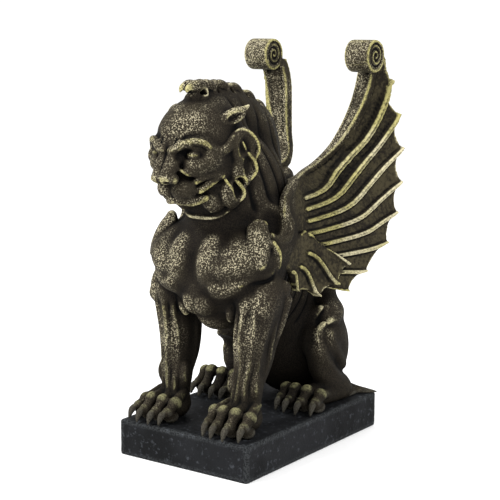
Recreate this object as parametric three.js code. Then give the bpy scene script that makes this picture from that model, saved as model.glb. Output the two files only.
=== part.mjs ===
import * as THREE from 'three';

// Driving dimensions, in millimetres. The lion looks along -Y, and its left side is +X.
const PLINTH_WIDTH = 111.5;
const PLINTH_LENGTH = 166.6;
const PLINTH_HEIGHT = 26;
const PLINTH_SOFT_EDGE = 0.9;
const SEAT_GAP = 0.3;
const SOLE_LEVEL = PLINTH_HEIGHT + SEAT_GAP;
const CELL = 2;
const FACE_BUDGET = 9300;
const EVENING_PULLS = [0.5, -0.52, 0.5, -0.52];

const FAN_SHEET = { thickness: 4.8, offset: 0 };
const TIER_SHEET = { thickness: 5, offset: 4 };
const RIB_HEIGHT = 2.7;
const RIB_WIDTH = 2.4;
const WING_FLARE = 50;
const WING_FLARE_REACH = 28;
const EDGE_SHARE = 7;
const BAND_WIDTH = [5, 15.5];
const BAND_THICKNESS = 7.5;
const BAND_TWIST = 0.39;
const VOLUTE_CENTRE = [45, 77.5, 278.5];
const VOLUTE_RADIUS = 11.8;
const VOLUTE_HALF_LENGTH = 10.3;
const VOLUTE_PITCH = 4.2;
const TENDON_RADIUS = 2.2;
const LOCK_RIM_RADIUS = 1.7;
const CREST_LOCKS = 9;

const LION_COLOUR = 0x4c463a;
const PLINTH_COLOUR = 0x33363a;

// Numbers and curves
const clamp = (value, low, high) => Math.min(high, Math.max(low, value));
const mix = (a, b, t) => a + (b - a) * t;

function smoothStep(from, to, value) {
  const t = clamp((value - from) / (to - from), 0, 1);
  return t * t * (3 - 2 * t);
}

function smoothMin(a, b, blend) {
  if (blend <= 0) return Math.min(a, b);
  const h = Math.max(blend - Math.abs(a - b), 0) / blend;
  return Math.min(a, b) - h * h * blend * 0.25;
}

function smoothMax(a, b, blend) {
  return -smoothMin(-a, -b, blend);
}

// Samples a smooth curve through knots of any size, four to a stretch by default.
function throughKnots(knots, stepsPerStretch = 4) {
  const size = knots[0].length;
  const first = knots[0].map((value, i) => 2 * value - knots[1][i]);
  const last = knots.at(-1).map((value, i) => 2 * value - knots.at(-2)[i]);
  const padded = [first, ...knots, last];
  const samples = [];
  for (let k = 1; k < padded.length - 2; k++) {
    for (let step = 0; step < stepsPerStretch; step++) {
      const t = step / stepsPerStretch;
      const sample = [];
      for (let i = 0; i < size; i++) {
        const [a, b, c, d] = [padded[k - 1][i], padded[k][i], padded[k + 1][i], padded[k + 2][i]];
        sample.push(b + 0.5 * t * (c - a + t * (2 * a - 5 * b + 4 * c - d + t * (3 * (b - c) + d - a))));
      }
      samples.push(sample);
    }
  }
  samples.push(knots.at(-1));
  return samples;
}

// Solid forms. Each has a box and a signed distance along X for a given y and z, negative inside.
function egg(centre, radii, turn = [0, 0, 0]) {
  const reach = Math.max(...radii);
  const euler = new THREE.Euler(...turn.map(THREE.MathUtils.degToRad), 'ZYX');
  const m = new THREE.Matrix4().makeRotationFromEuler(euler).elements;
  const [rx, ry, rz] = radii;
  const row = (y, z) => {
    const dy = y - centre[1];
    const dz = z - centre[2];
    return (x) => {
      const dx = x - centre[0];
      const u = (m[0] * dx + m[1] * dy + m[2] * dz) / rx;
      const v = (m[4] * dx + m[5] * dy + m[6] * dz) / ry;
      const w = (m[8] * dx + m[9] * dy + m[10] * dz) / rz;
      const near = Math.sqrt(u * u + v * v + w * w);
      const slope = Math.sqrt((u / rx) ** 2 + (v / ry) ** 2 + (w / rz) ** 2);
      return slope < 1e-9 ? -Math.min(rx, ry, rz) : (near * (near - 1)) / slope;
    };
  };
  return { low: centre.map((c) => c - reach), high: centre.map((c) => c + reach), row };
}

// A rounded strand through knots of x, y, z and radius.
function strand(knots, stepsPerStretch = 4) {
  const samples = knots.length > 2 ? throughKnots(knots, stepsPerStretch) : knots;
  const low = [0, 1, 2].map((i) => Math.min(...samples.map((s) => s[i] - s[3])));
  const high = [0, 1, 2].map((i) => Math.max(...samples.map((s) => s[i] + s[3])));
  const links = samples.slice(1).map((end, k) => {
    const [ax, ay, az, ar] = samples[k];
    const [ex, ey, ez] = [end[0] - ax, end[1] - ay, end[2] - az];
    return { ax, ay, az, ar, ex, ey, ez, taper: end[3] - ar, square: ex * ex + ey * ey + ez * ez };
  });
  const row = (y, z) => (x) => {
    let best = Infinity;
    for (const { ax, ay, az, ar, ex, ey, ez, taper, square } of links) {
      const px = x - ax;
      const py = y - ay;
      const pz = z - az;
      const along = clamp((px * ex + py * ey + pz * ez) / square, 0, 1);
      const qx = px - along * ex;
      const qy = py - along * ey;
      const qz = pz - along * ez;
      best = Math.min(best, Math.sqrt(qx * qx + qy * qy + qz * qz) - ar - taper * along);
    }
    return best;
  };
  return { low, high, row };
}

const GROOVE_FADE = 8;

// The clay: a grid of distances over the half with x >= 0, which is mirrored when it is taken off.
class Clay {
  constructor(low, high, cell) {
    this.low = low;
    this.cell = cell;
    this.count = low.map((value, i) => Math.ceil((high[i] - value) / cell) + 1);
    this.field = new Float32Array(this.count[0] * this.count[1] * this.count[2]).fill(1e3);
  }

  at(i, j, k) {
    return (k * this.count[1] + j) * this.count[0] + i;
  }

  // Changes the distances inside a box, widened by a margin.
  work(low, high, margin, changeRow) {
    const cellOf = (value, axis) => (value - this.low[axis]) / this.cell;
    const first = (axis) => clamp(Math.floor(cellOf(low[axis] - margin, axis)), 0, this.count[axis]);
    const last = (axis) => clamp(Math.ceil(cellOf(high[axis] + margin, axis)), -1, this.count[axis] - 1);
    for (let k = first(2); k <= last(2); k++) {
      for (let j = first(1); j <= last(1); j++) {
        const change = changeRow(this.low[1] + j * this.cell, this.low[2] + k * this.cell);
        const start = this.at(0, j, k);
        for (let i = first(0); i <= last(0); i++) {
          this.field[start + i] = change(this.field[start + i], this.low[0] + i * this.cell);
        }
      }
    }
  }

  add(form, blend = 0) {
    this.work(form.low, form.high, blend + 2 * this.cell, (y, z) => {
      const distance = form.row(y, z);
      return (value, x) => smoothMin(value, distance(x), blend);
    });
  }

  cut(form, blend = 0) {
    this.work(form.low, form.high, blend + 2 * this.cell, (y, z) => {
      const distance = form.row(y, z);
      return (value, x) => smoothMax(value, -distance(x), blend);
    });
  }

  // Raises a soft ridge along a line on the surface, or sinks a groove where the height is negative.
  line(knots, width, height) {
    const core = strand(knots.map((knot) => [...knot, 0]));
    this.work(core.low, core.high, 2.5 * width, (y, z) => {
      const distance = core.row(y, z);
      return (value, x) => value - height * Math.exp(-((distance(x) / width) ** 2));
    });
  }

  // Carves even, soft grooves across a direction. They fade out towards the sides of a box.
  grooves(low, high, across, spacing, depth) {
    const fade = (value, axis) => (
      smoothStep(low[axis], low[axis] + GROOVE_FADE, value)
      * smoothStep(high[axis], high[axis] - GROOVE_FADE, value)
    );
    this.work(low, high, 0, (y, z) => {
      const depthHere = depth * fade(y, 1) * fade(z, 2);
      const phase = across[1] * y + across[2] * z;
      return (value, x) => {
        const wave = Math.cos((Math.PI / spacing) * (across[0] * x + phase));
        return value + depthHere * fade(x, 0) * wave ** 8;
      };
    });
  }
}

// The wing is a sheet over the Y-Z plane. Its front edge, in y, z and x, runs from the shoulder back
// to the spine and then up to the volute, and the sheet flares outward behind it.
const leadingEdge = throughKnots([
  [-18, 166, 43], [-20, 176, 42], [-12, 185, 38], [8, 191, 31], [34, 194, 21], [58.4, 197, 15],
  [71.4, 207, 20], [77.4, 219, 26.8], [82.6, 232, 32.3], [86.6, 245, 36.3], [88.6, 256, 38.8],
  [88.6, 266, 40.8], [87, 275, 43.5], [83.5, 281.5, 45],
], 3);

// The nearest place on the leading edge: its distance, how far along it lies, and its x.
function nearestOnEdge(y, z) {
  let gap = Infinity;
  let along = 0;
  for (let k = 0; k < leadingEdge.length - 1; k++) {
    const [ay, az] = leadingEdge[k];
    const [by, bz] = leadingEdge[k + 1];
    const [ey, ez] = [by - ay, bz - az];
    const t = clamp(((y - ay) * ey + (z - az) * ez) / (ey * ey + ez * ez), 0, 1);
    const distance = Math.hypot(y - ay - t * ey, z - az - t * ez);
    if (distance >= gap) continue;
    gap = distance;
    along = k + t;
  }
  const k = Math.min(Math.floor(along), leadingEdge.length - 2);
  const x = mix(leadingEdge[k][2], leadingEdge[k + 1][2], along - k);
  return { gap, along: along / (leadingEdge.length - 1), x };
}

// The x of the sheet's middle: a soft share of the edge points nearby, plus the flare behind the edge.
function wingMiddle(y, z) {
  const { gap } = nearestOnEdge(y, z);
  let weights = 0;
  let total = 0;
  for (const [ay, az, ax] of leadingEdge) {
    const weight = Math.exp((gap - Math.hypot(y - ay, z - az)) / EDGE_SHARE);
    weights += weight;
    total += weight * ax;
  }
  return total / weights + WING_FLARE * (1 - Math.exp(-gap / WING_FLARE_REACH)) * smoothStep(-10, 70, y);
}

function wingLean(y, z) {
  const slopeY = (wingMiddle(y + 1, z) - wingMiddle(y - 1, z)) / 2;
  const slopeZ = (wingMiddle(y, z + 1) - wingMiddle(y, z - 1)) / 2;
  return 1 / Math.sqrt(1 + Math.min(slopeY * slopeY + slopeZ * slopeZ, 3));
}

// Tips of the fan from the top down. A rib bends up to each of them from the shoulder.
const FAN_TIPS = [
  [98.5, 260], [102.8, 235.5], [106, 210.3], [105.4, 185], [98.4, 162.4], [83, 141.6], [52.4, 124.6],
  [33, 112.5],
];
const fanRoot = (i) => [14 - 2.5 * i, 180.5 - 7.2 * i - 0.25 * i * i];

// The lower, outer tier of short panels.
const TIER_ROOTS = [[3, 157], [0, 144], [-9, 135.5], [-19, 133.5]];
const TIER_TIPS = [[35.5, 132.5], [22.8, 119], [9, 111.5], [-12, 118.5]];

// A rib leaves its root along a slope, bends, and reaches its tip at the angle the tip's height asks for.
function ribCurve(root, tip, { level, slope, steps }) {
  const chord = Math.hypot(tip[0] - root[0], tip[1] - root[1]);
  const angle = THREE.MathUtils.degToRad(clamp(tip[1] - root[1], -70, 76));
  const first = [root[0] + chord * level, root[1] + chord * level * slope];
  const second = [tip[0] - 0.25 * chord * Math.cos(angle), tip[1] - 0.25 * chord * Math.sin(angle)];
  const curve = [];
  for (let s = 0; s <= steps; s++) {
    const t = s / steps;
    const [a, b, c, d] = [(1 - t) ** 3, 3 * t * (1 - t) ** 2, 3 * t * t * (1 - t), t ** 3];
    curve.push([0, 1].map((axis) => a * root[axis] + b * first[axis] + c * second[axis] + d * tip[axis]));
  }
  return curve;
}

const fanRibs = FAN_TIPS.map((tip, i) => ribCurve(fanRoot(i), tip, { level: 0.65, slope: 0, steps: 12 }));
const tierRibs = TIER_TIPS.map((tip, i) => (
  ribCurve(TIER_ROOTS[i], tip, { level: 0.4, slope: -0.25, steps: 6 })
));

function distanceToLine(line, y, z) {
  let best = Infinity;
  for (let k = 0; k < line.length - 1; k++) {
    const [ay, az] = line[k];
    const [ey, ez] = [line[k + 1][0] - ay, line[k + 1][1] - az];
    const t = clamp(((y - ay) * ey + (z - az) * ez) / (ey * ey + ez * ez), 0, 1);
    best = Math.min(best, Math.hypot(y - ay - t * ey, z - az - t * ez));
  }
  return best;
}

// Signed distance to a closed outline, negative inside.
function outlineDistance(outline, y, z) {
  const closed = [...outline, outline[0]];
  let inside = false;
  for (let k = 0; k < outline.length; k++) {
    const [ay, az] = closed[k];
    const [by, bz] = closed[k + 1];
    if (az > z !== bz > z && y < ((by - ay) * (z - az)) / (bz - az) + ay) inside = !inside;
  }
  const gap = distanceToLine(closed, y, z);
  return inside ? -gap : gap;
}

// Points of a shallow arc between two tips that bows towards the root side.
function scallop(from, to, depth, steps = 5) {
  const [ey, ez] = [to[0] - from[0], to[1] - from[1]];
  const length = Math.hypot(ey, ez);
  const points = [];
  for (let s = 0; s < steps; s++) {
    const t = s / steps;
    const bow = depth * 4 * t * (1 - t);
    points.push([from[0] + ey * t + (bow * ez) / length, from[1] + ez * t - (bow * ey) / length]);
  }
  return points;
}

function scallopedEdge(tips, depth) {
  const points = [];
  for (let i = 0; i < tips.length - 1; i++) points.push(...scallop(tips[i], tips[i + 1], depth));
  return [...points, tips.at(-1)];
}

const edgePoints = leadingEdge.filter((_, i) => i % 3 === 0).map(([y, z]) => [y, z]);
const upperEdge = [[85, 287], [90, 282], [93.6, 275.5], [95.6, 268]];
const fanOutline = [...upperEdge, ...scallopedEdge(FAN_TIPS, 3.5), [-6, 124], [-10, 132], ...edgePoints];
const tierOutline = [...scallopedEdge(TIER_TIPS, 3), [-24, 138], [-12, 156], [0, 160]];

function sheet(outline, ribs, { thickness, offset }) {
  const ys = outline.map((p) => p[0]);
  const zs = outline.map((p) => p[1]);
  const row = (y, z) => {
    const rim = outlineDistance(outline, y, z);
    if (rim > 8) return () => rim;
    const middle = wingMiddle(y, z) + offset;
    const lean = wingLean(y, z);
    const fromRib = Math.min(...ribs.map((rib) => distanceToLine(rib, y, z)));
    const half = thickness / 2 + RIB_HEIGHT * (Math.exp(-((fromRib / RIB_WIDTH) ** 2)) - 0.35);
    return (x) => smoothMax(Math.abs(x - middle) * lean - half, rim, 1);
  };
  return { low: [12, Math.min(...ys), Math.min(...zs)], high: [72, Math.max(...ys), Math.max(...zs)], row };
}

// The band that leads the wing, broad at the top and tapering into the ribbon at the shoulder.
function band() {
  const row = (y, z) => (x) => {
    const shift = BAND_TWIST * (x - nearestOnEdge(y, z).x);
    const { gap, along, x: middle } = nearestOnEdge(y + shift, z);
    const half = mix(BAND_WIDTH[0], BAND_WIDTH[1], smoothStep(0.3, 0.8, along)) / 2;
    const flute = 0.6 * Math.cos(((x - middle) / half) * 2 * Math.PI);
    const dx = Math.abs(x - middle) - half + 1;
    const dq = gap - BAND_THICKNESS / 2 + 1.5 - flute * smoothStep(0.4, 0.6, along);
    return Math.hypot(Math.max(dx, 0), Math.max(dq, 0)) + Math.min(Math.max(dx, dq), 0) - 1.5;
  };
  return { low: [8, -24, 162], high: [54, 96, 272], row };
}

// The roll at the top of the band, with a spiral groove in each end.
function volute() {
  const [cx, cy, cz] = VOLUTE_CENTRE;
  const row = (y, z) => {
    const radial = Math.hypot(y - cy, z - cz);
    const spiral = radial / VOLUTE_PITCH - Math.atan2(z - cz, y - cy) / (2 * Math.PI);
    const off = Math.abs(spiral - Math.round(spiral)) * VOLUTE_PITCH;
    const groove = radial < VOLUTE_RADIUS - 2 ? 1.6 * Math.exp(-((off / 1.1) ** 2)) : 0;
    return (x) => smoothMax(radial - VOLUTE_RADIUS, Math.abs(x - cx) - VOLUTE_HALF_LENGTH + groove, 1.2);
  };
  const reach = [VOLUTE_HALF_LENGTH, VOLUTE_RADIUS, VOLUTE_RADIUS];
  const low = VOLUTE_CENTRE.map((c, axis) => c - reach[axis]);
  const high = VOLUTE_CENTRE.map((c, axis) => c + reach[axis]);
  return { low, high, row };
}

function shapeWing(clay) {
  clay.add(sheet(fanOutline, fanRibs, FAN_SHEET), 1.5);
  clay.add(sheet(tierOutline, tierRibs, TIER_SHEET), 1);
  clay.add(band(), 1.5);
  clay.add(volute(), 1);
}

// Body, chest and flank
function shapeBody(clay) {
  clay.add(egg([0, -34, 136], [40, 36, 40]));
  clay.add(strand([[0, -12, 132, 35], [0, 20, 112, 33], [0, 44, 86, 34]]), 12);
  clay.add(egg([0, 48, 70], [34, 33, 44]), 10);
  clay.add(egg([0, -20, 184], [31, 42, 44], [-12, 0, 0]), 10);
  clay.add(strand([[0, -20, 190, 31], [0, -40, 215, 26]]), 10);
  clay.add(egg([33, -36, 134], [15, 20, 31], [0, 6, 0]), 6);
  clay.add(strand([[0, 16, 160, 17], [0, 44, 150, 20], [0, 60, 118, 24]]), 12);
}

function shapeChest(clay) {
  clay.add(egg([0, -54, 120], [14, 14, 17]), 4);
  clay.add(egg([0, -36, 102], [14, 20, 12]), 6);
  clay.add(egg([19, -37.4, 140.6], [31.6, 35.6, 21.4], [0, -20, 14]), 2);
  clay.add(egg([12, -55, 141], [12.5, 20, 21]), 4);
  clay.add(egg([24, -57, 127], [15, 13, 8], [0, -20, 22]), 5);
  clay.add(egg([5, -60, 114], [7.5, 9.5, 9.5], [0, 24, 0]), 2.5);
  clay.cut(egg([9, -83, 175], [24, 21, 12.5], [0, -24, 18]), 1);
  clay.cut(egg([9, -75, 125], [2.4, 5, 4.5], [0, 24, 0]), 3);
  clay.add(egg([18.5, -68.5, 127.5], [4.6, 4, 4]), 2);
  clay.line([[0, -73, 156], [0, -77, 145], [0, -75, 130], [0, -68, 118]], 2, -2.6);
}

// The lip and groove that run under the breast and up to the shoulder.
const PECTORAL_EDGE = [
  [24, -71, 122.5], [29.5, -70, 124], [37, -65, 126], [42, -57, 130], [48, -47.5, 132], [50.5, -41, 137],
  [52.5, -42.5, 146], [50.5, -46, 153],
];
function shapePectoralEdge(clay) {
  const lip = PECTORAL_EDGE.slice(2).map(([x, y, z]) => [x - 1.4, y + 2, z + 3.6, 2.4]);
  clay.add(strand(lip), 3);
  clay.cut(strand(PECTORAL_EDGE.map((place) => [...place, 1.6])), 1.6);
}

function shapeFlank(clay) {
  clay.grooves([14, -26, 84], [60, 34, 132], [0, 0.93, -0.36], 8, 1.8);
}

// The foreleg in x, y, z, radius and half its depth, with tendons run down around it.
const FORELEG = [
  [38, -41, 122, 15, 0], [35.5, -41.5, 106, 13.5, 3], [33.3, -42.5, 88, 11.4, 4.5], [32, -44, 72, 10, 4],
  [31.3, -47.5, 58, 9, 2], [31, -50, 46, 9, 1], [31, -52, 36, 10, 0],
];
const TENDON_ANGLES = [-130, -92, -57, -22, 18, 90, 160];
function shapeForeleg(clay) {
  for (const shift of [-1, 1.7]) {
    clay.add(strand(FORELEG.map(([x, y, z, r, depth]) => [x, y + shift * depth, z, r])), 4);
  }
  for (const angle of TENDON_ANGLES.map(THREE.MathUtils.degToRad)) {
    const [out, back] = [Math.cos(angle), Math.sin(angle)];
    clay.add(strand(FORELEG.map(([x, y, z, r, depth]) => (
      [x + (r - 0.3) * out, y + (r + depth) * back, z, TENDON_RADIUS]
    ))), 1);
  }
  for (const out of [-1, 1]) {
    clay.add(egg([31 + 10.8 * out, -50, 58], [3.6, 5.5, 8], [0, 0, 25 * out]), 2);
  }
  clay.add(egg([31.5, -55, 34], [13.5, 13, 9]), 4);
  clay.add(egg([44.5, -46, 116], [8, 11, 12], [12, 0, 0]), 4);
  clay.add(egg([35, -53, 117], [8, 7, 9], [0, 20, 0]), 4);
  clay.add(egg([21, -52, 109], [4, 5, 9], [0, 12, 0]), 2);
  clay.add(egg([48, -50, 113], [4.5, 6, 5.5]), 2);
  clay.add(egg([50, -33, 124], [5, 6, 6]), 1.5);
  clay.add(strand([[50, -30, 116, 4.6], [47, -31, 100, 3], [42, -33, 84, 2.2]]), 2);
}

function shapeHindleg(clay) {
  clay.add(strand([[30, 46, 98, 12], [26, 48, 112, 12], [22, 44, 130, 14]]), 6);
  clay.add(egg([34, 42, 92], [14.5, 18.5, 13]), 4);
  clay.add(egg([35.5, 38.5, 75.5], [16, 19, 19.5], [10, 0, 0]), 3);
  clay.add(egg([37, 48, 67], [13, 15, 25]), 4);
  clay.add(strand([[40, 27, 68, 9.6], [39.5, 31, 57, 9.5], [41, 37, 46, 9.8], [42, 49, 38, 9.6]]), 3);
  clay.add(strand([[42, 54, 34, 9], [40, 36, 34, 8.8], [37, 20, 34, 8.6]]), 3);
  clay.cut(strand([
    [52.5, 26, 85, 2], [51.5, 23.5, 77, 3], [52, 26, 68, 3], [52, 34, 59, 2.5], [51, 42, 50, 1.5],
  ]), 2);
  clay.cut(egg([56, 43, 72], [4.5, 6, 4.5]), 2);
  clay.add(strand([
    [50.5, 39, 90.5, 1.8], [50.5, 30, 92, 2], [47.5, 22, 88.5, 2.2], [45, 20, 81, 2.2], [45.6, 19.5, 73, 2],
    [47.4, 22.5, 64.5, 2], [48.6, 29.5, 56, 2], [48.8, 38, 48, 1.8], [48.5, 44, 42, 1.5],
  ]), 1.6);
  clay.add(strand([
    [50, 30, 81, 1.8], [50.8, 30.5, 75, 2.2], [51, 35, 68.5, 2.2], [50.5, 42, 61, 2.2], [48.5, 50, 53, 2],
  ]), 1.5);
  clay.add(strand([[40, 26, 98, 2], [43.5, 28, 101, 2.4], [46.5, 36, 99, 2.4], [48.5, 44, 92, 2]]), 1.6);
}

// The four toes of one paw: a cord from the wrist, a ball, a joint with its pad, and a claw. The outer
// toes sit further back.
const TOE_SPREAD = [[-14.5, -12.5, 2], [-5.5, -4.5, 0], [4.5, 5.6, 0], [13.2, 16, 4]];
function shapePaw(clay, { side, middle, y, height, length, rise }) {
  for (const [ballOut, tipOut, setBack] of TOE_SPREAD) {
    const ball = [side * (middle + ballOut), y + setBack, height - 0.6 * setBack];
    const tip = [side * (middle + tipOut), ball[1] - length, 27.2];
    const joint = [mix(ball[0], tip[0], 0.4), mix(ball[1], tip[1], 0.45), 34];
    const wrist = [side * (middle + 0.75 * ballOut), ball[1] + 13, height + rise, 3.2];
    clay.add(strand([wrist, [...ball, 3.6]]), 1.5);
    clay.add(strand([[...ball, 3.8], [...joint, 3.4]]), 1);
    clay.add(egg(ball, [4.9, 5, 4.8]), 0.8);
    clay.add(egg(joint, [4.1, 4.4, 4.2]), 0.8);
    clay.add(egg([joint[0], joint[1] + 4, 30], [4.4, 6, 4]), 1);
    const nail = [mix(joint[0], tip[0], 0.75), mix(joint[1], tip[1], 0.72), 32.6, 2.6];
    clay.add(strand([[joint[0], joint[1] - 2.5, 34.6, 2.5], nail, [...tip, 1.3]]), 0.3);
  }
}

// Head and face
function shapeMuzzle(clay) {
  clay.add(strand([[3, -90, 219, 5], [3.8, -95, 211, 5.2], [3.4, -98, 204.5, 5]]), 3);
  clay.add(egg([0, -80.5, 200], [12.5, 15, 10.5]), 4);
  clay.add(egg([7.2, -87.5, 197.4], [7.4, 9.6, 7.4], [0, 0, 30]), 2);
  clay.add(egg([2.8, -99.4, 202], [5, 5.8, 5]), 1.5);
  clay.add(egg([6.4, -96.2, 201], [2.8, 4.6, 3.4], [0, 0, 20]), 0.8);
  clay.cut(egg([4.6, -103.8, 199.2], [1.8, 3, 1.6]), 0.8);
  clay.add(strand([[8, -94, 207, 1.2], [12, -89.5, 205, 1.5], [16.5, -83, 206, 1.2]]), 4);
}

function shapeMouth(clay) {
  clay.add(egg([0, -74, 189.6], [12, 13.6, 6]), 2);
  clay.add(strand([
    [13, -87, 200, 1.8], [17, -79.5, 203.6, 2.1], [21, -73, 204.6, 2.1], [24.5, -68, 202.4, 1.5],
  ]), 3.4);
  clay.add(strand([[11, -84, 193.5, 2], [15.5, -76, 197.4, 2], [20, -70.5, 200, 1.8]]), 3);
  clay.add(strand([
    [0, -86, 189, 2.4], [4.5, -84, 188.4, 2.4], [10, -78, 188.4, 2.4], [14.5, -71, 191, 2],
  ]), 2.4);
  clay.cut(strand([
    [0, -97, 191.4, 0.9], [7, -93, 190.4, 0.9], [12, -83, 190.6, 1.3], [15.5, -75, 193.4, 2.2],
    [19.5, -69.5, 196.4, 2.4], [22.5, -65, 198.6, 1.4],
  ]), 0.6);
  clay.add(strand([
    [19, -66, 194, 1.4], [20.5, -61, 189, 1.7], [18, -60.5, 182, 1.7], [12, -63.5, 178, 1.2],
  ]), 1.5);
  clay.add(strand([[16.5, -69, 190, 1.2], [17.5, -66, 186, 1.4], [14.5, -67.5, 182.4, 1]]), 1.2);
}

function shapeEye(clay) {
  clay.cut(egg([15, -94, 217.6], [7, 7, 4.6], [0, 0, 28]), 2);
  clay.add(egg([15.4, -86.8, 217.8], [4.3, 3.9, 3.3], [0, 0, 28]), 0.4);
  clay.add(strand([
    [9.8, -92, 217.6, 0.9], [13, -91, 220.8, 1.2], [17, -88, 221.2, 1.3], [20.4, -82.6, 218.6, 1],
  ]), 1.2);
}

function shapeBrow(clay) {
  clay.add(strand([
    [2, -95.6, 220, 2.6], [5, -95, 221.4, 2.9], [8, -93, 223.6, 3], [12, -90.4, 225.4, 3],
    [17, -87.2, 226.4, 2.9], [22, -82.4, 225.6, 2.5], [25, -78, 222.6, 1.8],
  ]), 2.4);
  clay.add(strand([
    [24, -79, 222, 1.6], [27.5, -72, 219.4, 2], [29, -65, 221.5, 2], [29, -61, 226, 1.8],
  ]), 2.4);
  clay.add(strand([
    [23.5, -80, 212.4, 1.4], [26.5, -73, 214, 1.8], [28.5, -66, 212.6, 1.8], [29.5, -61, 207.6, 1.4],
  ]), 2.4);
}

function shapeHead(clay) {
  clay.add(egg([0, -58, 223.5], [28.4, 35, 30.8]), 6);
  clay.add(egg([0, -74, 223], [23, 19, 9.5]), 5);
  clay.add(egg([14, -58, 209], [13.5, 19, 17]), 6);
  clay.add(egg([20, -72, 215], [7.5, 13, 9], [0, 0, 25]), 4);
  clay.add(egg([12, -60, 189], [9, 11, 12]), 4);
  shapeMuzzle(clay);
  shapeMouth(clay);
  shapeEye(clay);
  shapeBrow(clay);
}

const EAR_TURN = [21, 0, -19];
function shapeEar(clay) {
  clay.add(egg([25, -56.5, 241.5], [4.2, 11, 5.6], EAR_TURN), 1.5);
  clay.add(strand([[27, -50, 245, 2.6], [28.5, -43.5, 248.3, 1]]), 1.5);
  clay.cut(egg([29.4, -58.5, 241], [3.8, 7.6, 3.2], EAR_TURN), 0.8);
}

// The leaf locks behind the cheek: each is a lobe, hollowed on its face, with a raised rim.
const LEAF_LOCKS = [
  {
    lobe: [[29.5, -51, 221], [6, 12, 14]],
    hollow: [[38, -54, 221.5], [7.5, 8.4, 10.2]],
    tilt: 12,
    rim: [[28, -62.5, 227], [29, -59.5, 231.2], [32, -55, 233], [34.5, -48.5, 230], [35.2, -42.6, 223.5],
      [35, -41.5, 217.5], [34, -44.5, 213.2]],
  },
  {
    lobe: [[28, -51, 206.5], [5.8, 10.5, 13.5]],
    hollow: [[36.5, -50, 208], [6.5, 6.2, 10]],
    tilt: 15,
    rim: [[33, -50, 217], [34, -44.5, 211.5], [34, -42.4, 205], [32.4, -46.4, 200], [29, -50.5, 197]],
  },
  {
    lobe: [[22.5, -55.5, 191.5], [6, 9.6, 12.4]],
    hollow: [[30.5, -54.6, 193], [6, 5.4, 9]],
    tilt: 20,
    rim: [[28, -58, 200], [28.8, -50.5, 193.4], [28.4, -49, 188], [26, -53, 184.4], [21, -57, 182.4]],
  },
];
function shapeLeafLocks(clay) {
  for (const { lobe, hollow, tilt, rim } of LEAF_LOCKS) {
    clay.add(egg(...lobe, [tilt, 0, 0]), 1.5);
    clay.cut(egg(...hollow, [tilt, 0, 0]), 0.6);
    clay.add(strand(rim.map((knot) => [...knot, LOCK_RIM_RADIUS]), 3), 0.6);
  }
}

// The crest stands along the head and neck, with a row of rolled locks on top. Each lock is drawn along
// the crest, above it and, for the side curl, out from it, in sixths of its size.
const crestLine = throughKnots([
  [-66, 257.6], [-48, 258], [-28, 256], [-8, 249.6], [9, 239], [19, 220.5], [22, 199], [19, 180],
], 5);
const LOCK_SIZE = [6.2, 3.2];
const LOCK_CURL = [
  [-5, -5, 0.6], [-3.4, 1.4, 0.76], [1.5, 3.8, 0.7], [6, 3.8, 0.5], [9.4, 2.8, 0.34], [10.6, 0.6, 0.24],
];
const LOCK_SIDE = [[-5, 2, 0.2, 0.5], [-3, -2.5, 0.62, 0.42], [1, -6.5, 0.76, 0.3]];
function shapeCrest(clay) {
  const knots = crestLine.filter((_, i) => i % 5 === 0);
  clay.add(strand(knots.map(([y, z], i) => [0, y + 1, z - 4, i < 4 ? 6 : 8])), 3);
  clay.add(strand(knots.map(([y, z]) => [0, mix(y, -24, 0.3), mix(z, 205, 0.3), 15])), 6);
  clay.grooves([8, -52, 172], [60, 34, 262], [0, 0.96, 0.27], 13, 2.4);
  for (let i = 0; i < CREST_LOCKS; i++) {
    const t = i / (CREST_LOCKS - 0.4);
    const here = Math.floor(t * (crestLine.length - 3));
    const [[y, z], [nextY, nextZ]] = [crestLine[here], crestLine[here + 2]];
    const stride = Math.hypot(nextY - y, nextZ - z);
    const [aheadY, aheadZ] = [(y - nextY) / stride, (z - nextZ) / stride];
    const size = mix(...LOCK_SIZE, t);
    const place = (along, rise, out, thick) => [
      size * (0.42 + out),
      y + ((aheadY * along + aheadZ * rise) * size) / 6,
      z + ((aheadZ * along - aheadY * rise) * size) / 6,
      size * thick,
    ];
    clay.add(strand(LOCK_CURL.map(([along, rise, thick]) => place(along, rise, 0, thick)), 3), 0.6);
    clay.add(strand(LOCK_SIDE.map(([along, rise, out, thick]) => place(along, rise, out, thick)), 3), 0.6);
  }
}

// Shoulder, collar and wing root
function shapeWingRoot(clay) {
  clay.add(egg([22, 8, 158], [12, 32, 25], [12, 0, -4]), 6);
  clay.add(strand([[13, 58, 188, 8], [6, 42, 172, 16], [0, 40, 150, 22]]), 6);
  clay.add(strand([[26, 20, 158, 12], [24, 50, 150, 12], [18, 62, 128, 12]]), 8);
}

function shapeShoulderRibbon(clay) {
  clay.add(egg([33, -20, 156], [15, 20, 25]), 8);
  clay.cut(egg([41, -33, 172], [8, 9, 12], [0, 0, -20]), 4);
  clay.add(strand([
    [32, 6, 191, 3.8], [39, -14, 184.5, 3.8], [43, -21, 175, 3.6], [45.5, -18, 166, 3.2],
    [47, -23, 158, 3], [46.5, -31, 156.5, 2.8], [43.5, -38, 160, 2.8],
  ]), 1);
  clay.add(strand([[36.5, -44.5, 166, 3], [41, -48.5, 157, 3.6], [45, -51.5, 148, 3]]), 2);
  clay.add(strand([
    [34, -48.5, 165.5, 2.8], [38.5, -54, 156.5, 3.4], [42.5, -56, 148.5, 3.2], [45.6, -55.4, 142, 2],
  ]), 1);
  clay.add(strand([
    [39.5, -43, 168.5, 2.8], [44, -46, 161, 3.4], [47, -49.5, 152, 3], [47.6, -53, 144, 2],
  ]), 1.6);
  clay.add(strand([[34.5, -47, 166.5, 2.6], [37, -45, 169.6, 2.8], [40.5, -42.5, 168.5, 2.6]]), 1.5);
}

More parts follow.
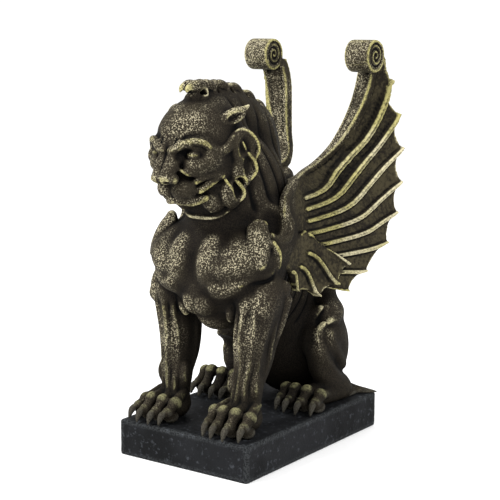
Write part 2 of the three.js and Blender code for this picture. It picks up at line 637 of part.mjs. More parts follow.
function shapeCollar(clay) {
  clay.add(strand([
    [0, -62, 172.5, 1.3], [8, -60.5, 172.5, 1.3], [15, -56.5, 174.5, 1.3], [21, -52.5, 180, 1.3],
    [25.5, -51, 187, 1.2],
  ]), 1.4);
}

// Surface taken off the clay, as welded vertices and triangles.
const CORNERS = [0, 1, 2, 3, 4, 5, 6, 7].map((n) => [n & 1, (n >> 1) & 1, n >> 2]);
const CELL_EDGES = CORNERS.flatMap((_, n) => (
  [1, 2, 4].filter((bit) => !(n & bit)).map((bit) => [n, n | bit])
));

// A pattern of inside corners is pinched where two of them touch only across a face or the cell.
function isPinched(pattern) {
  const inside = (n) => (pattern >> n) & 1;
  for (const [low, a, b] of [[1, 2, 4], [2, 1, 4], [4, 1, 2]]) {
    for (const base of [0, low]) {
      const [p, q, r, s] = [base, base | a, base | b, base | a | b].map(inside);
      if (p === s && q === r && p !== q) return true;
    }
  }
  const two = [0, 1, 2, 3].map((n) => (1 << n) | (1 << (7 - n)));
  return two.includes(pattern) || two.includes(255 - pattern);
}
const PINCHED = Array.from({ length: 256 }, (_, pattern) => isPinched(pattern));

function patternAt(field, base, offsets) {
  let pattern = 0;
  for (let n = 0; n < 8; n++) if (field[base + offsets[n]] < 0) pattern |= 1 << n;
  return pattern;
}

function fillPinches(field, [nx, ny, nz]) {
  const offsets = CORNERS.map(([i, j, k]) => (k * ny + j) * nx + i);
  let found = true;
  while (found) {
    found = false;
    for (let k = 0; k < nz - 1; k++) {
      for (let j = 0; j < ny - 1; j++) {
        for (let i = 0; i < nx - 1; i++) {
          const base = (k * ny + j) * nx + i;
          if (!PINCHED[patternAt(field, base, offsets)]) continue;
          const outside = offsets.filter((offset) => field[base + offset] >= 0);
          const nearest = outside.reduce((a, b) => (field[base + b] < field[base + a] ? b : a));
          field[base + nearest] = -1e-3;
          found = true;
        }
      }
    }
  }
}

function takeSurface({ field, count, low, cell }) {
  const [nx, ny, nz] = count;
  const offsets = CORNERS.map(([i, j, k]) => (k * ny + j) * nx + i);
  const vertexAt = new Int32Array(nx * ny * nz).fill(-1);
  const positions = [];
  const crossed = [];
  for (let k = 0; k < nz - 1; k++) {
    for (let j = 0; j < ny - 1; j++) {
      for (let i = 0; i < nx - 1; i++) {
        const base = (k * ny + j) * nx + i;
        const pattern = patternAt(field, base, offsets);
        if (pattern === 0 || pattern === 255) continue;
        const sum = [0, 0, 0];
        let crossings = 0;
        for (const [a, b] of CELL_EDGES) {
          const [va, vb] = [field[base + offsets[a]], field[base + offsets[b]]];
          if (va < 0 === vb < 0) continue;
          const t = va / (va - vb);
          for (let axis = 0; axis < 3; axis++) sum[axis] += mix(CORNERS[a][axis], CORNERS[b][axis], t);
          crossings++;
        }
        vertexAt[base] = positions.length;
        positions.push([i, j, k].map((c, axis) => low[axis] + cell * (c + sum[axis] / crossings)));
        crossed.push(base);
      }
    }
  }
  const faces = [];
  const far = (m, n) => Math.hypot(...positions[m].map((value, axis) => value - positions[n][axis]));
  const quad = (p, q, r, s) => {
    if (far(p, r) < far(q, s)) faces.push([p, q, r], [p, r, s]);
    else faces.push([p, q, s], [q, r, s]);
  };
  const steps = [1, nx, nx * ny];
  for (const base of crossed) {
    for (let axis = 0; axis < 3; axis++) {
      const [along, side, up] = [steps[axis], steps[(axis + 1) % 3], steps[(axis + 2) % 3]];
      const here = field[base] < 0;
      if (here === field[base + along] < 0) continue;
      const ring = [base - side - up, base - up, base, base - side].map((cellBase) => vertexAt[cellBase]);
      if (here) quad(...ring);
      else quad(...ring.reverse());
    }
  }
  return { positions, faces };
}

// Keeps the largest connected shell.
function largestShell({ positions, faces }) {
  const parent = positions.map((_, i) => i);
  const root = (i) => {
    while (parent[i] !== i) i = parent[i] = parent[parent[i]];
    return i;
  };
  for (const [a, b, c] of faces) {
    parent[root(a)] = root(b);
    parent[root(b)] = root(c);
  }
  const size = new Map();
  for (const [a] of faces) size.set(root(a), (size.get(root(a)) ?? 0) + 1);
  const best = [...size.entries()].sort((a, b) => b[1] - a[1])[0][0];
  return { positions, faces: faces.filter(([a]) => root(a) === best) };
}

// Evens out the steps that the grid leaves: each pull towards the neighbours is followed by a push back,
// so the form doesn't shrink.
function evenOut({ positions, faces }) {
  const around = positions.map(() => new Set());
  for (const [a, b, c] of faces) {
    around[a].add(b).add(c);
    around[b].add(a).add(c);
    around[c].add(a).add(b);
  }
  for (const pull of EVENING_PULLS) {
    const before = positions.map((place) => [...place]);
    positions.forEach((place, v) => {
      for (let axis = 0; axis < 3; axis++) {
        let sum = 0;
        for (const n of around[v]) sum += before[n][axis];
        place[axis] += pull * (sum / around[v].size - before[v][axis]);
      }
    });
  }
}

// Joins neighbouring vertices, the flattest places first, until the surface has few enough faces.
function thin({ positions, faces }, budget) {
  const quadric = positions.map(() => new Float64Array(10));
  const around = positions.map(() => new Set());
  const alive = faces.map(() => true);
  const normalOf = ([a, b, c]) => {
    const [p, q, r] = [positions[a], positions[b], positions[c]];
    const [ux, uy, uz] = [q[0] - p[0], q[1] - p[1], q[2] - p[2]];
    const [vx, vy, vz] = [r[0] - p[0], r[1] - p[1], r[2] - p[2]];
    return [uy * vz - uz * vy, uz * vx - ux * vz, ux * vy - uy * vx];
  };
  faces.forEach((face, f) => {
    const n = normalOf(face);
    const length = Math.hypot(...n);
    face.forEach((v) => around[v].add(f));
    if (length < 1e-12) return;
    const [x, y, z] = n.map((value) => value / length);
    const w = -(x * positions[face[0]][0] + y * positions[face[0]][1] + z * positions[face[0]][2]);
    const terms = [x * x, x * y, x * z, x * w, y * y, y * z, y * w, z * z, z * w, w * w];
    for (const v of face) terms.forEach((term, i) => { quadric[v][i] += (term * length) / 2; });
  });
  const cost = (q, [x, y, z]) => (
    q[0] * x * x + q[4] * y * y + q[7] * z * z + q[9]
    + 2 * (q[1] * x * y + q[2] * x * z + q[5] * y * z + q[3] * x + q[6] * y + q[8] * z)
  );
  const bestPlace = (q, a, b) => {
    const [m00, m01, m02, m11, m12, m22] = [q[0] + 1e-4, q[1], q[2], q[4] + 1e-4, q[5], q[7] + 1e-4];
    const middle = positions[a].map((value, i) => (value + positions[b][i]) / 2);
    const [r0, r1, r2] = [1e-4 * middle[0] - q[3], 1e-4 * middle[1] - q[6], 1e-4 * middle[2] - q[8]];
    const [c0, c1, c2] = [m11 * m22 - m12 * m12, m02 * m12 - m01 * m22, m01 * m12 - m02 * m11];
    const det = m00 * c0 + m01 * c1 + m02 * c2;
    const places = [positions[a], positions[b], middle];
    if (Math.abs(det) > 1e-9) {
      const x = (c0 * r0 + c1 * r1 + c2 * r2) / det;
      const y = (c1 * r0 + (m00 * m22 - m02 * m02) * r1 + (m01 * m02 - m00 * m12) * r2) / det;
      const z = (c2 * r0 + (m01 * m02 - m00 * m12) * r1 + (m00 * m11 - m01 * m01) * r2) / det;
      const shift = Math.hypot(x - middle[0], y - middle[1], z - middle[2]);
      if (shift < 2 * CELL) places.push([x, y, z]);
    }
    return places.reduce((best, place) => (cost(q, place) < cost(q, best) ? place : best));
  };
  const heap = [];
  const swap = (i, j) => { [heap[i], heap[j]] = [heap[j], heap[i]]; };
  const push = (item) => {
    let i = heap.push(item) - 1;
    while (i > 0 && heap[(i - 1) >> 1].cost > heap[i].cost) {
      swap(i, (i - 1) >> 1);
      i = (i - 1) >> 1;
    }
  };
  const pop = () => {
    const top = heap[0];
    const last = heap.pop();
    if (heap.length === 0) return top;
    heap[0] = last;
    for (let i = 0; ;) {
      const [left, right] = [2 * i + 1, 2 * i + 2];
      let least = i;
      if (left < heap.length && heap[left].cost < heap[least].cost) least = left;
      if (right < heap.length && heap[right].cost < heap[least].cost) least = right;
      if (least === i) return top;
      swap(i, least);
      i = least;
    }
  };
  const stamp = new Int32Array(positions.length);
  const offer = (a, b) => {
    const q = quadric[a].map((value, i) => value + quadric[b][i]);
    const place = bestPlace(q, a, b);
    const length = Math.hypot(...positions[a].map((value, i) => value - positions[b][i]));
    const total = cost(q, place) + 1e-3 * length * length;
    push({ a, b, place, cost: total, stampA: stamp[a], stampB: stamp[b] });
  };
  const neighbours = (v) => {
    const found = new Set();
    for (const f of around[v]) for (const n of faces[f]) if (n !== v) found.add(n);
    return found;
  };
  const turnsOver = (v, other, place) => {
    for (const f of around[v]) {
      if (faces[f].includes(other)) continue;
      const before = normalOf(faces[f]);
      const kept = positions[v];
      positions[v] = place;
      const after = normalOf(faces[f]);
      positions[v] = kept;
      const dot = before[0] * after[0] + before[1] * after[1] + before[2] * after[2];
      const area = Math.hypot(...after);
      if (area < 1e-3 || dot < 0.35 * Math.hypot(...before) * area) return true;
    }
    return false;
  };
  positions.forEach((_, v) => neighbours(v).forEach((n) => { if (n > v) offer(v, n); }));
  let left = faces.length;
  while (left > budget && heap.length > 0) {
    const { a, b, place, stampA, stampB } = pop();
    if (stamp[a] !== stampA || stamp[b] !== stampB) continue;
    const [ringA, ringB] = [neighbours(a), neighbours(b)];
    const shared = [...ringA].filter((n) => ringB.has(n));
    const edgeFaces = [...around[a]].filter((f) => faces[f].includes(b));
    if (shared.length !== 2 || edgeFaces.length !== 2) continue;
    if (turnsOver(a, b, place) || turnsOver(b, a, place)) continue;
    for (const f of edgeFaces) {
      alive[f] = false;
      faces[f].forEach((v) => around[v].delete(f));
    }
    for (const f of around[b]) {
      faces[f] = faces[f].map((v) => (v === b ? a : v));
      around[a].add(f);
    }
    around[b].clear();
    stamp[b] = -1;
    quadric[a] = quadric[a].map((value, i) => value + quadric[b][i]);
    positions[a] = place;
    left -= 2;
    stamp[a]++;
    for (const n of neighbours(a)) {
      stamp[n]++;
    }
    const offered = new Set();
    for (const n of [a, ...neighbours(a)]) {
      for (const m of neighbours(n)) {
        const key = n < m ? n * positions.length + m : m * positions.length + n;
        if (offered.has(key)) continue;
        offered.add(key);
        offer(Math.min(n, m), Math.max(n, m));
      }
    }
  }
  return { positions, faces: faces.filter((_, f) => alive[f]) };
}

function geometryOf({ positions, faces }) {
  const number = new Map();
  const flat = [];
  const indices = faces.flat().map((v) => {
    if (!number.has(v)) {
      number.set(v, number.size);
      flat.push(...positions[v]);
    }
    return number.get(v);
  });
  const geometry = new THREE.BufferGeometry();
  geometry.setAttribute('position', new THREE.Float32BufferAttribute(flat, 3));
  geometry.setIndex(indices);
  geometry.computeVertexNormals();
  return geometry;
}

// The finished lion: both halves, the paws, the tail, and soles cut flat just above the plinth.
function mirrored(clay) {
  const [nx, ny, nz] = clay.count;
  const far = clay.count.map((count, axis) => clay.low[axis] + clay.cell * (count - 1));
  const whole = new Clay([-far[0], clay.low[1], clay.low[2]], far, clay.cell);
  whole.count = [2 * nx - 1, ny, nz];
  whole.field = new Float32Array(whole.count[0] * ny * nz);
  for (let k = 0; k < nz; k++) {
    for (let j = 0; j < ny; j++) {
      for (let i = 0; i < whole.count[0]; i++) {
        whole.field[whole.at(i, j, k)] = clay.field[clay.at(Math.abs(i - nx + 1), j, k)];
      }
    }
  }
  return whole;
}

// The hidden tail comes down behind the haunches and lies along the plinth to its rear left corner.
function shapeTail(clay) {
  clay.add(strand([
    [0, 68, 66, 9], [-8, 76, 46, 7], [-4, 76, 34, 6.5], [14, 75, 28, 6], [30, 74, 26.5, 5.5],
  ]), 2);
  clay.add(egg([34, 66, 26], [13.5, 18, 7]), 3);
  clay.add(strand([[32, 74, 26, 6], [44, 76, 25.6, 5], [51, 78.5, 25.6, 3.6], [56, 81.5, 25.6, 2]]), 2);
}

function lionGeometry() {
  const clay = new Clay([0, -116, 20], [80, 116, 296], CELL);
  shapeBody(clay);
  shapeHindleg(clay);
  shapeFlank(clay);
  shapeForeleg(clay);
  shapeChest(clay);
  shapePectoralEdge(clay);
  shapeHead(clay);
  shapeCrest(clay);
  shapeEar(clay);
  shapeLeafLocks(clay);
  shapeWingRoot(clay);
  shapeShoulderRibbon(clay);
  shapeWing(clay);
  shapeCollar(clay);
  const whole = mirrored(clay);
  whole.cut(egg([-40, 11, 56], [22, 21, 14]), 3);
  shapePaw(whole, { side: 1, middle: 31, y: -68, height: 41.5, length: 17, rise: 3 });
  shapePaw(whole, { side: -1, middle: 33.6, y: -68, height: 40.5, length: 16, rise: 3 });
  shapePaw(whole, { side: 1, middle: 36, y: 11.5, height: 40.5, length: 17, rise: -5 });
  shapePaw(whole, { side: -1, middle: 38, y: 7, height: 44, length: 15, rise: -5 });
  shapeTail(whole);
  whole.work([-200, -200, 0], [200, 200, SOLE_LEVEL + 4], 0, (y, z) => (value) => (
    Math.max(value, SOLE_LEVEL - z)
  ));
  fillPinches(whole.field, whole.count);
  const surface = largestShell(takeSurface(whole));
  evenOut(surface);
  for (const place of surface.positions) if (place[2] < SOLE_LEVEL + 0.3 * CELL) place[2] = SOLE_LEVEL;
  const thinned = thin(surface, FACE_BUDGET);
  for (const place of thinned.positions) place[2] = Math.max(place[2], SOLE_LEVEL);
  return geometryOf(thinned);
}

function plinthGeometry() {
  const [x, y] = [PLINTH_WIDTH / 2 - PLINTH_SOFT_EDGE, PLINTH_LENGTH / 2 - PLINTH_SOFT_EDGE];
  const outline = new THREE.Shape([[-x, -y], [x, -y], [x, y], [-x, y]].map((p) => new THREE.Vector2(...p)));
  const geometry = new THREE.ExtrudeGeometry(outline, {
    depth: PLINTH_HEIGHT - 2 * PLINTH_SOFT_EDGE,
    bevelThickness: PLINTH_SOFT_EDGE,
    bevelSize: PLINTH_SOFT_EDGE,
    bevelSegments: 2,
  });
  return geometry.translate(0, 0, PLINTH_SOFT_EDGE);
}

const statue = new THREE.Group();

const lion = new THREE.Mesh(lionGeometry(), new THREE.MeshStandardMaterial({
  color: LION_COLOUR, roughness: 0.75, metalness: 0,
}));
lion.name = 'winged_lion';
statue.add(lion);

const plinth = new THREE.Mesh(plinthGeometry(), new THREE.MeshStandardMaterial({
  color: PLINTH_COLOUR, roughness: 0.85, metalness: 0,
}));
plinth.name = 'plinth';
statue.add(plinth);

export default statue;
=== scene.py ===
# %% [markdown]
# This lesson rebuilds a small garden statue, a seated lion with two raised wings on a block-shaped
# plinth. The plain solids come first, as a frame that fixes every size and place. The two sculpted
# pieces made here stand exactly where those solids stand. The box round the solids is kept, so that
# the finished size can be set against it.

# %% Frame
import math
import bpy
import numpy as np
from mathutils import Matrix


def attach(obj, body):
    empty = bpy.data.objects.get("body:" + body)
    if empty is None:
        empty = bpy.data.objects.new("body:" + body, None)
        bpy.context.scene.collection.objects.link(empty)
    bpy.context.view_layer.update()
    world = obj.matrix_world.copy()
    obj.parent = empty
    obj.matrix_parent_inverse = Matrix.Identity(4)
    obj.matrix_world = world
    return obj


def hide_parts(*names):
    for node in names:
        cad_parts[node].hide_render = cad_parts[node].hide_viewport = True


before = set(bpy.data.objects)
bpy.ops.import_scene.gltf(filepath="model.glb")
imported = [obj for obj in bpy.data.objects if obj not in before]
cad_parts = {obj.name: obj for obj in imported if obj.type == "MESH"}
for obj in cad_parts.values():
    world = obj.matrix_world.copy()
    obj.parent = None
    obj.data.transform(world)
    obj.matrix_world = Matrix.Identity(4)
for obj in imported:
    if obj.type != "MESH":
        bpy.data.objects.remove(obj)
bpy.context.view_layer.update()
print("solids loaded")

# %% [markdown]
# The statue is all soft changes of form, so most of the work is blending. A smooth minimum joins two
# distances without a crease, as a thumb smears clay over a joint. A curve through a few knots could
# be a Blender curve, but the clay needs plain points along it, and a short loop gives those.

# %% Numbers and curves
def mix(a, b, t):
    return a + (b - a) * t


def smooth_step(low, high, value):
    t = np.clip((value - low) / (high - low), 0, 1)
    return t * t * (3 - 2 * t)


def smooth_min(a, b, blend):
    if blend <= 0:
        return np.minimum(a, b)
    h = np.maximum(blend - np.abs(a - b), 0) / blend
    return np.minimum(a, b) - h * h * blend * 0.25


def smooth_max(a, b, blend):
    return -smooth_min(-a, -b, blend)


def through_knots(knots, steps=4):
    knots = np.array(knots, float)
    padded = np.vstack([2 * knots[0] - knots[1], knots, 2 * knots[-1] - knots[-2]])
    samples = []
    for a, b, c, d in zip(padded, padded[1:], padded[2:], padded[3:]):
        for t in np.arange(steps) / steps:
            bend = 2 * a - 5 * b + 4 * c - d + t * (3 * (b - c) + d - a)
            samples.append(b + 0.5 * t * (c - a + t * bend))
    return np.array(samples + [knots[-1]])


print("curve through three knots:", through_knots([[0, 0], [1, 1], [2, 0]], 2).round(2).tolist())

# %% [markdown]
# Muscles, knuckles and locks of hair are nearly all eggs and tapering strands. They could be mesh
# spheres and skinned edges joined by booleans, but booleans leave hard seams and often fail on many
# crossing parts. Here each form is a function that says how far a place is from its surface, so any
# number of them can be added, cut or blended.

# %% Solid forms
def turn_matrix(degrees):
    x, y, z = np.radians(degrees)
    about_x = [[1, 0, 0], [0, math.cos(x), -math.sin(x)], [0, math.sin(x), math.cos(x)]]
    about_y = [[math.cos(y), 0, math.sin(y)], [0, 1, 0], [-math.sin(y), 0, math.cos(y)]]
    about_z = [[math.cos(z), -math.sin(z), 0], [math.sin(z), math.cos(z), 0], [0, 0, 1]]
    return np.array(about_z) @ about_y @ about_x


def egg(centre, radii, turn=(0, 0, 0)):
    centre = np.array(centre, float)
    matrix = turn_matrix(turn)
    reach = np.sqrt((matrix ** 2) @ (np.array(radii, float) ** 2))

    def distance(x, y, z):
        dx, dy, dz = x - centre[0], y - centre[1], z - centre[2]
        local = []
        for i, r in enumerate(radii):
            local.append((matrix[0, i] * dx + matrix[1, i] * dy + matrix[2, i] * dz) / r)
        near = np.sqrt(sum(c * c for c in local))
        slope = np.sqrt(sum((c / r) ** 2 for c, r in zip(local, radii)))
        return near * (near - 1) / np.maximum(slope, 1e-6)

    return centre - reach, centre + reach, distance


def strand(knots, steps=4):
    samples = through_knots(knots, steps) if len(knots) > 2 else np.array(knots, float)
    low = (samples[:, :3] - samples[:, 3:]).min(0)
    high = (samples[:, :3] + samples[:, 3:]).max(0)

    def distance(x, y, z):
        best = None
        for (ax, ay, az, ar), (bx, by, bz, br) in zip(samples, samples[1:]):
            ex, ey, ez = bx - ax, by - ay, bz - az
            square = ex * ex + ey * ey + ez * ez
            px, py, pz = x - ax, y - ay, z - az
            along = np.clip((px * ex + py * ey + pz * ez) / square, 0, 1)
            gap = np.sqrt((px - along * ex) ** 2 + (py - along * ey) ** 2 + (pz - along * ez) ** 2)
            here = gap - mix(ar, br, along)
            best = here if best is None else np.minimum(best, here)
        return best

    return low, high, distance


print("radius of an egg along its long side:", egg([0, 0, 0], [1, 2, 3])[1][2])

# %% [markdown]
# The clay is a grid of such distances. Adding a form takes the smooth minimum with it, cutting takes
# the smooth maximum with its negative, and a line raises or sinks a soft ridge. Only the cells near a
# form are worked, which keeps the whole sculpture to a few seconds. Only one half is sculpted, and
# then it is mirrored.

# %% Clay
class Clay:
    def __init__(self, low, high, cell):
        self.cell = cell
        self.low = np.array(low, float)
        count = np.ceil((np.array(high) - self.low) / cell).astype(int) + 1
        self.axes = [np.float32(self.low[i] + cell * np.arange(count[i])) for i in range(3)]
        self.field = np.full(count, 50, np.float32)

    def window(self, low, high, margin):
        box = []
        for axis, line in enumerate(self.axes):
            first, last = np.searchsorted(line, [low[axis] - margin, high[axis] + margin])
            box.append(slice(first, last))
        x, y, z = [line[part] for line, part in zip(self.axes, box)]
        return tuple(box), x[:, None, None], y[None, :, None], z[None, None, :]

    def work(self, form, margin, change):
        low, high, distance = form
        box, x, y, z = self.window(low, high, margin)
        if self.field[box].size:
            self.field[box] = change(self.field[box], distance(x, y, z))

    def add(self, form, blend=0):
        self.work(form, blend + 2 * self.cell, lambda old, new: smooth_min(old, new, blend))

    def cut(self, form, blend=0):
        self.work(form, blend + 2 * self.cell, lambda old, new: smooth_max(old, -new, blend))

    def line(self, knots, width, height):
        core = strand([[*knot, 0] for knot in knots])
        self.work(core, 2.5 * width, lambda old, new: old - height * np.exp(-(new / width) ** 2))

    def grooves(self, low, high, across, spacing, depth, soft=8):
        box, *places = self.window(low, high, 0)
        fade = 1
        for place, start, end in zip(places, low, high):
            fade = fade * smooth_step(start, start + soft, place) * smooth_step(end, end - soft, place)
        wave = np.cos(math.pi / spacing * sum(a * place for a, place in zip(across, places)))
        self.field[box] += depth * fade * wave ** 8

    def mirrored(self):
        whole = Clay.__new__(Clay)
        whole.cell = self.cell
        whole.axes = [np.concatenate([-self.axes[0][:0:-1], self.axes[0]]), *self.axes[1:]]
        whole.low = np.array([whole.axes[0][0], self.low[1], self.low[2]])
        whole.field = np.concatenate([self.field[:0:-1], self.field])
        return whole

# %% [markdown]
# Each wing is a thin curved sheet with a thick leading edge that ends in a scroll, eight long ribs,
# and a smaller tier of feathers low in front. Seen from the side it is a flat drawing, so its outline
# and ribs are drawn on that plane, and the sheet is then bent sideways by a function. The trailing
# edge is scalloped between the tips of the ribs.

# %% Wing outlines
LEADING_EDGE = through_knots([
    [-18, 166, 43], [-20, 176, 42], [-12, 185, 38], [8, 191, 31], [34, 194, 21], [58.4, 197, 15],
    [71.4, 207, 20], [77.4, 219, 26.8], [82.6, 232, 32.3], [86.6, 245, 36.3], [88.6, 256, 38.8],
    [88.6, 266, 40.8], [87, 275, 43.5], [83.5, 281.5, 45],
], 3)
FAN_TIPS = [
    [98.5, 260], [102.8, 235.5], [106, 210.3], [105.4, 185], [98.4, 162.4], [83, 141.6],
    [52.4, 124.6], [33, 112.5],
]
TIER_ROOTS = [[3, 157], [0, 144], [-9, 135.5], [-19, 133.5]]
TIER_TIPS = [[35.5, 132.5], [22.8, 119], [9, 111.5], [-12, 118.5]]
WING_FLARE = 50
WING_FLARE_REACH = 28
EDGE_SHARE = 7


def nearest_on_edge(y, z):
    gap = np.full(np.broadcast(y, z).shape, 1e9, np.float32)
    along = np.zeros_like(gap)
    middle = np.zeros_like(gap)
    for k, ((ay, az, ax), (by, bz, bx)) in enumerate(zip(LEADING_EDGE, LEADING_EDGE[1:])):
        ey, ez = by - ay, bz - az
        t = np.clip(((y - ay) * ey + (z - az) * ez) / (ey * ey + ez * ez), 0, 1)
        here = np.hypot(y - ay - t * ey, z - az - t * ez)
        closer = here < gap
        gap = np.where(closer, here, gap)
        along = np.where(closer, (k + t) / (len(LEADING_EDGE) - 1), along)
        middle = np.where(closer, mix(ax, bx, t), middle)
    return gap, along, middle


def wing_middle(y, z):
    gap, _, _ = nearest_on_edge(y, z)
    weights, total = 0, 0
    for ay, az, ax in LEADING_EDGE:
        weight = np.exp((gap - np.hypot(y - ay, z - az)) / EDGE_SHARE)
        weights, total = weights + weight, total + weight * ax
    flare = WING_FLARE * (1 - np.exp(-gap / WING_FLARE_REACH))
    return total / weights + flare * smooth_step(-10, 70, y)


def wing_lean(y, z):
    slope_y = (wing_middle(y + 1, z) - wing_middle(y - 1, z)) / 2
    slope_z = (wing_middle(y, z + 1) - wing_middle(y, z - 1)) / 2
    return 1 / np.sqrt(1 + np.minimum(slope_y ** 2 + slope_z ** 2, 3))


def fan_root(index):
    return [14 - 2.5 * index, 180.5 - 7.2 * index - 0.25 * index * index]


def rib_curve(root, tip, level, flat, steps=14):
    root, tip = np.array(root, float), np.array(tip, float)
    chord = math.hypot(*(tip - root))
    angle = math.radians(np.clip(tip[1] - root[1], -70, 76))
    first = root + chord * level * np.array([1, flat])
    second = tip - 0.28 * chord * np.array([math.cos(angle), math.sin(angle)])
    t = np.linspace(0, 1, steps + 1)[:, None]
    left = 1 - t
    return left ** 3 * root + 3 * t * left ** 2 * first + 3 * t * t * left * second + t ** 3 * tip


def scalloped_edge(tips, depth, steps=6):
    tips = np.array(tips, float)
    points = []
    for start, end in zip(tips, tips[1:]):
        ey, ez = end - start
        for t in np.arange(steps) / steps:
            bow = depth * 4 * t * (1 - t) / math.hypot(ey, ez)
            points.append(start + [ey * t + bow * ez, ez * t - bow * ey])
    return np.array(points + [tips[-1]])


fan_ribs = [rib_curve(fan_root(i), tip, 0.6, 0) for i, tip in enumerate(FAN_TIPS)]
tier_ribs = [rib_curve(root, tip, 0.4, -0.25, 8) for root, tip in zip(TIER_ROOTS, TIER_TIPS)]
WING_TOP = [[85, 287], [90, 282], [93.6, 275.5], [95.6, 268]]
trailing_edge = np.vstack([WING_TOP, scalloped_edge(FAN_TIPS, 3.5)])
fan_outline = np.vstack([trailing_edge, [[-6, 124], [-10, 132]], LEADING_EDGE[::3, :2]])
tier_outline = np.vstack([scalloped_edge(TIER_TIPS, 3), [[-24, 138], [-12, 156], [0, 160]]])
print("ribs in the fan:", len(fan_ribs), "and in the lower tier:", len(tier_ribs))

# %% [markdown]
# The sheet could be a flat mesh pushed about by modifiers, but then it would have to be joined to the
# body by a boolean. As a distance it melts into the shoulder like the rest. Its thickness grows along
# the ribs, which gives each rib a flat top and a clear side. The leading edge is a fluted band, and
# the scroll is a drum with a spiral groove.

# %% Wing forms
def distance_to_line(line, y, z):
    best = 1e9
    for (ay, az), (by, bz) in zip(line, line[1:]):
        ey, ez = by - ay, bz - az
        t = np.clip(((y - ay) * ey + (z - az) * ez) / (ey * ey + ez * ez), 0, 1)
        best = np.minimum(best, np.hypot(y - ay - t * ey, z - az - t * ez))
    return best


def outline_distance(outline, y, z):
    closed = np.vstack([outline, outline[:1]])
    inside = np.zeros(np.broadcast(y, z).shape, bool)
    for (ay, az), (by, bz) in zip(closed, closed[1:]):
        if az != bz:
            crosses = (az > z) != (bz > z)
            inside ^= crosses & (y < (by - ay) * (z - az) / (bz - az) + ay)
    gap = distance_to_line(closed, y, z)
    return np.where(inside, -gap, gap)


def sheet(outline, ribs, offset, thickness, rib_height, rib_width):
    low = [12, *outline.min(0)]
    high = [72, *outline.max(0)]

    def distance(x, y, z):
        rim = outline_distance(outline, y, z)
        middle = wing_middle(y, z) + offset
        lean = wing_lean(y, z)
        from_rib = np.minimum.reduce([distance_to_line(rib, y, z) for rib in ribs])
        half = thickness / 2 + rib_height * (np.exp(-(from_rib / rib_width) ** 4) - 0.35)
        return smooth_max(np.abs(x - middle) * lean - half, rim + 0 * x, 1)

    return low, high, distance


BAND_WIDTH = [5, 15.5]
BAND_THICKNESS = 7.5
BAND_TWIST = 0.39


def band():
    def distance(x, y, z):
        _, _, edge = nearest_on_edge(y, z)
        gap, along, middle = nearest_on_edge(y + BAND_TWIST * (x - edge), z + 0 * x)
        half = mix(*BAND_WIDTH, smooth_step(0.3, 0.8, along)) / 2
        flute = 0.6 * np.cos((x - middle) / half * 2 * math.pi) * smooth_step(0.4, 0.6, along)
        dx = np.abs(x - middle) - half + 1
        dq = gap - BAND_THICKNESS / 2 + 1.5 - flute
        return np.hypot(np.maximum(dx, 0), np.maximum(dq, 0)) + np.minimum(np.maximum(dx, dq), 0) - 1.5

    return [8, -24, 162], [54, 96, 272], distance


VOLUTE_CENTRE = [45, 77.5, 278.5]
VOLUTE_RADIUS = 11.8
VOLUTE_HALF_LENGTH = 10.3
VOLUTE_PITCH = 4.2


def volute():
    cx, cy, cz = VOLUTE_CENTRE

    def distance(x, y, z):
        radial = np.hypot(y - cy, z - cz)
        spiral = radial / VOLUTE_PITCH - np.arctan2(z - cz, y - cy) / (2 * math.pi)
        off = np.abs(spiral - np.round(spiral)) * VOLUTE_PITCH
        groove = np.where(radial < VOLUTE_RADIUS - 2, 1.6 * np.exp(-(off / 1.1) ** 2), 0)
        ends = np.abs(x - cx) - VOLUTE_HALF_LENGTH + groove
        return smooth_max(radial - VOLUTE_RADIUS + 0 * x, ends, 1.2)

    reach = np.array([VOLUTE_HALF_LENGTH, VOLUTE_RADIUS, VOLUTE_RADIUS])
    return VOLUTE_CENTRE - reach, VOLUTE_CENTRE + reach, distance


def shape_wing(clay):
    clay.add(sheet(fan_outline, fan_ribs, 0, 4.4, 2.4, 1.6), 1.5)
    clay.add(sheet(tier_outline, tier_ribs, 4, 4.6, 2.4, 1.6), 1)
    clay.add(band(), 1.5)
    clay.add(volute(), 1)


print("wing forms ready")

# %% [markdown]
# The trunk is a deep chest, a belly, a rump and a thick neck. Each is an egg or a strand, blended
# with the next over ten millimetres or so, as a sculptor would start from a rough mass. The blend is
# wide here and gets narrower for every smaller form that follows.

# %% Body
def shape_body(clay):
    clay.add(egg([0, -34, 136], [40, 36, 40]))
    clay.add(strand([[0, -12, 132, 35], [0, 20, 112, 33], [0, 44, 86, 34]]), 12)
    clay.add(egg([0, 48, 70], [34, 33, 44]), 10)
    clay.add(egg([0, -20, 184], [31, 42, 44], [-12, 0, 0]), 10)
    clay.add(strand([[0, -20, 190, 31], [0, -40, 215, 26]]), 10)
    clay.add(egg([33, -36, 134], [15, 20, 31], [0, 6, 0]), 6)
    clay.add(strand([[0, 16, 160, 17], [0, 44, 150, 20], [0, 60, 118, 24]]), 12)


print("trunk ready")

# %% [markdown]
# The chest of the real figure is broken into heavy plates of muscle with a groove down the middle and
# a hollow at the throat. Eggs turned a little outwards give the plates, and one larger egg is cut
# away for the throat. A cut strand draws the lower edge of the plate, because a carved line reads
# better than a step between two masses.

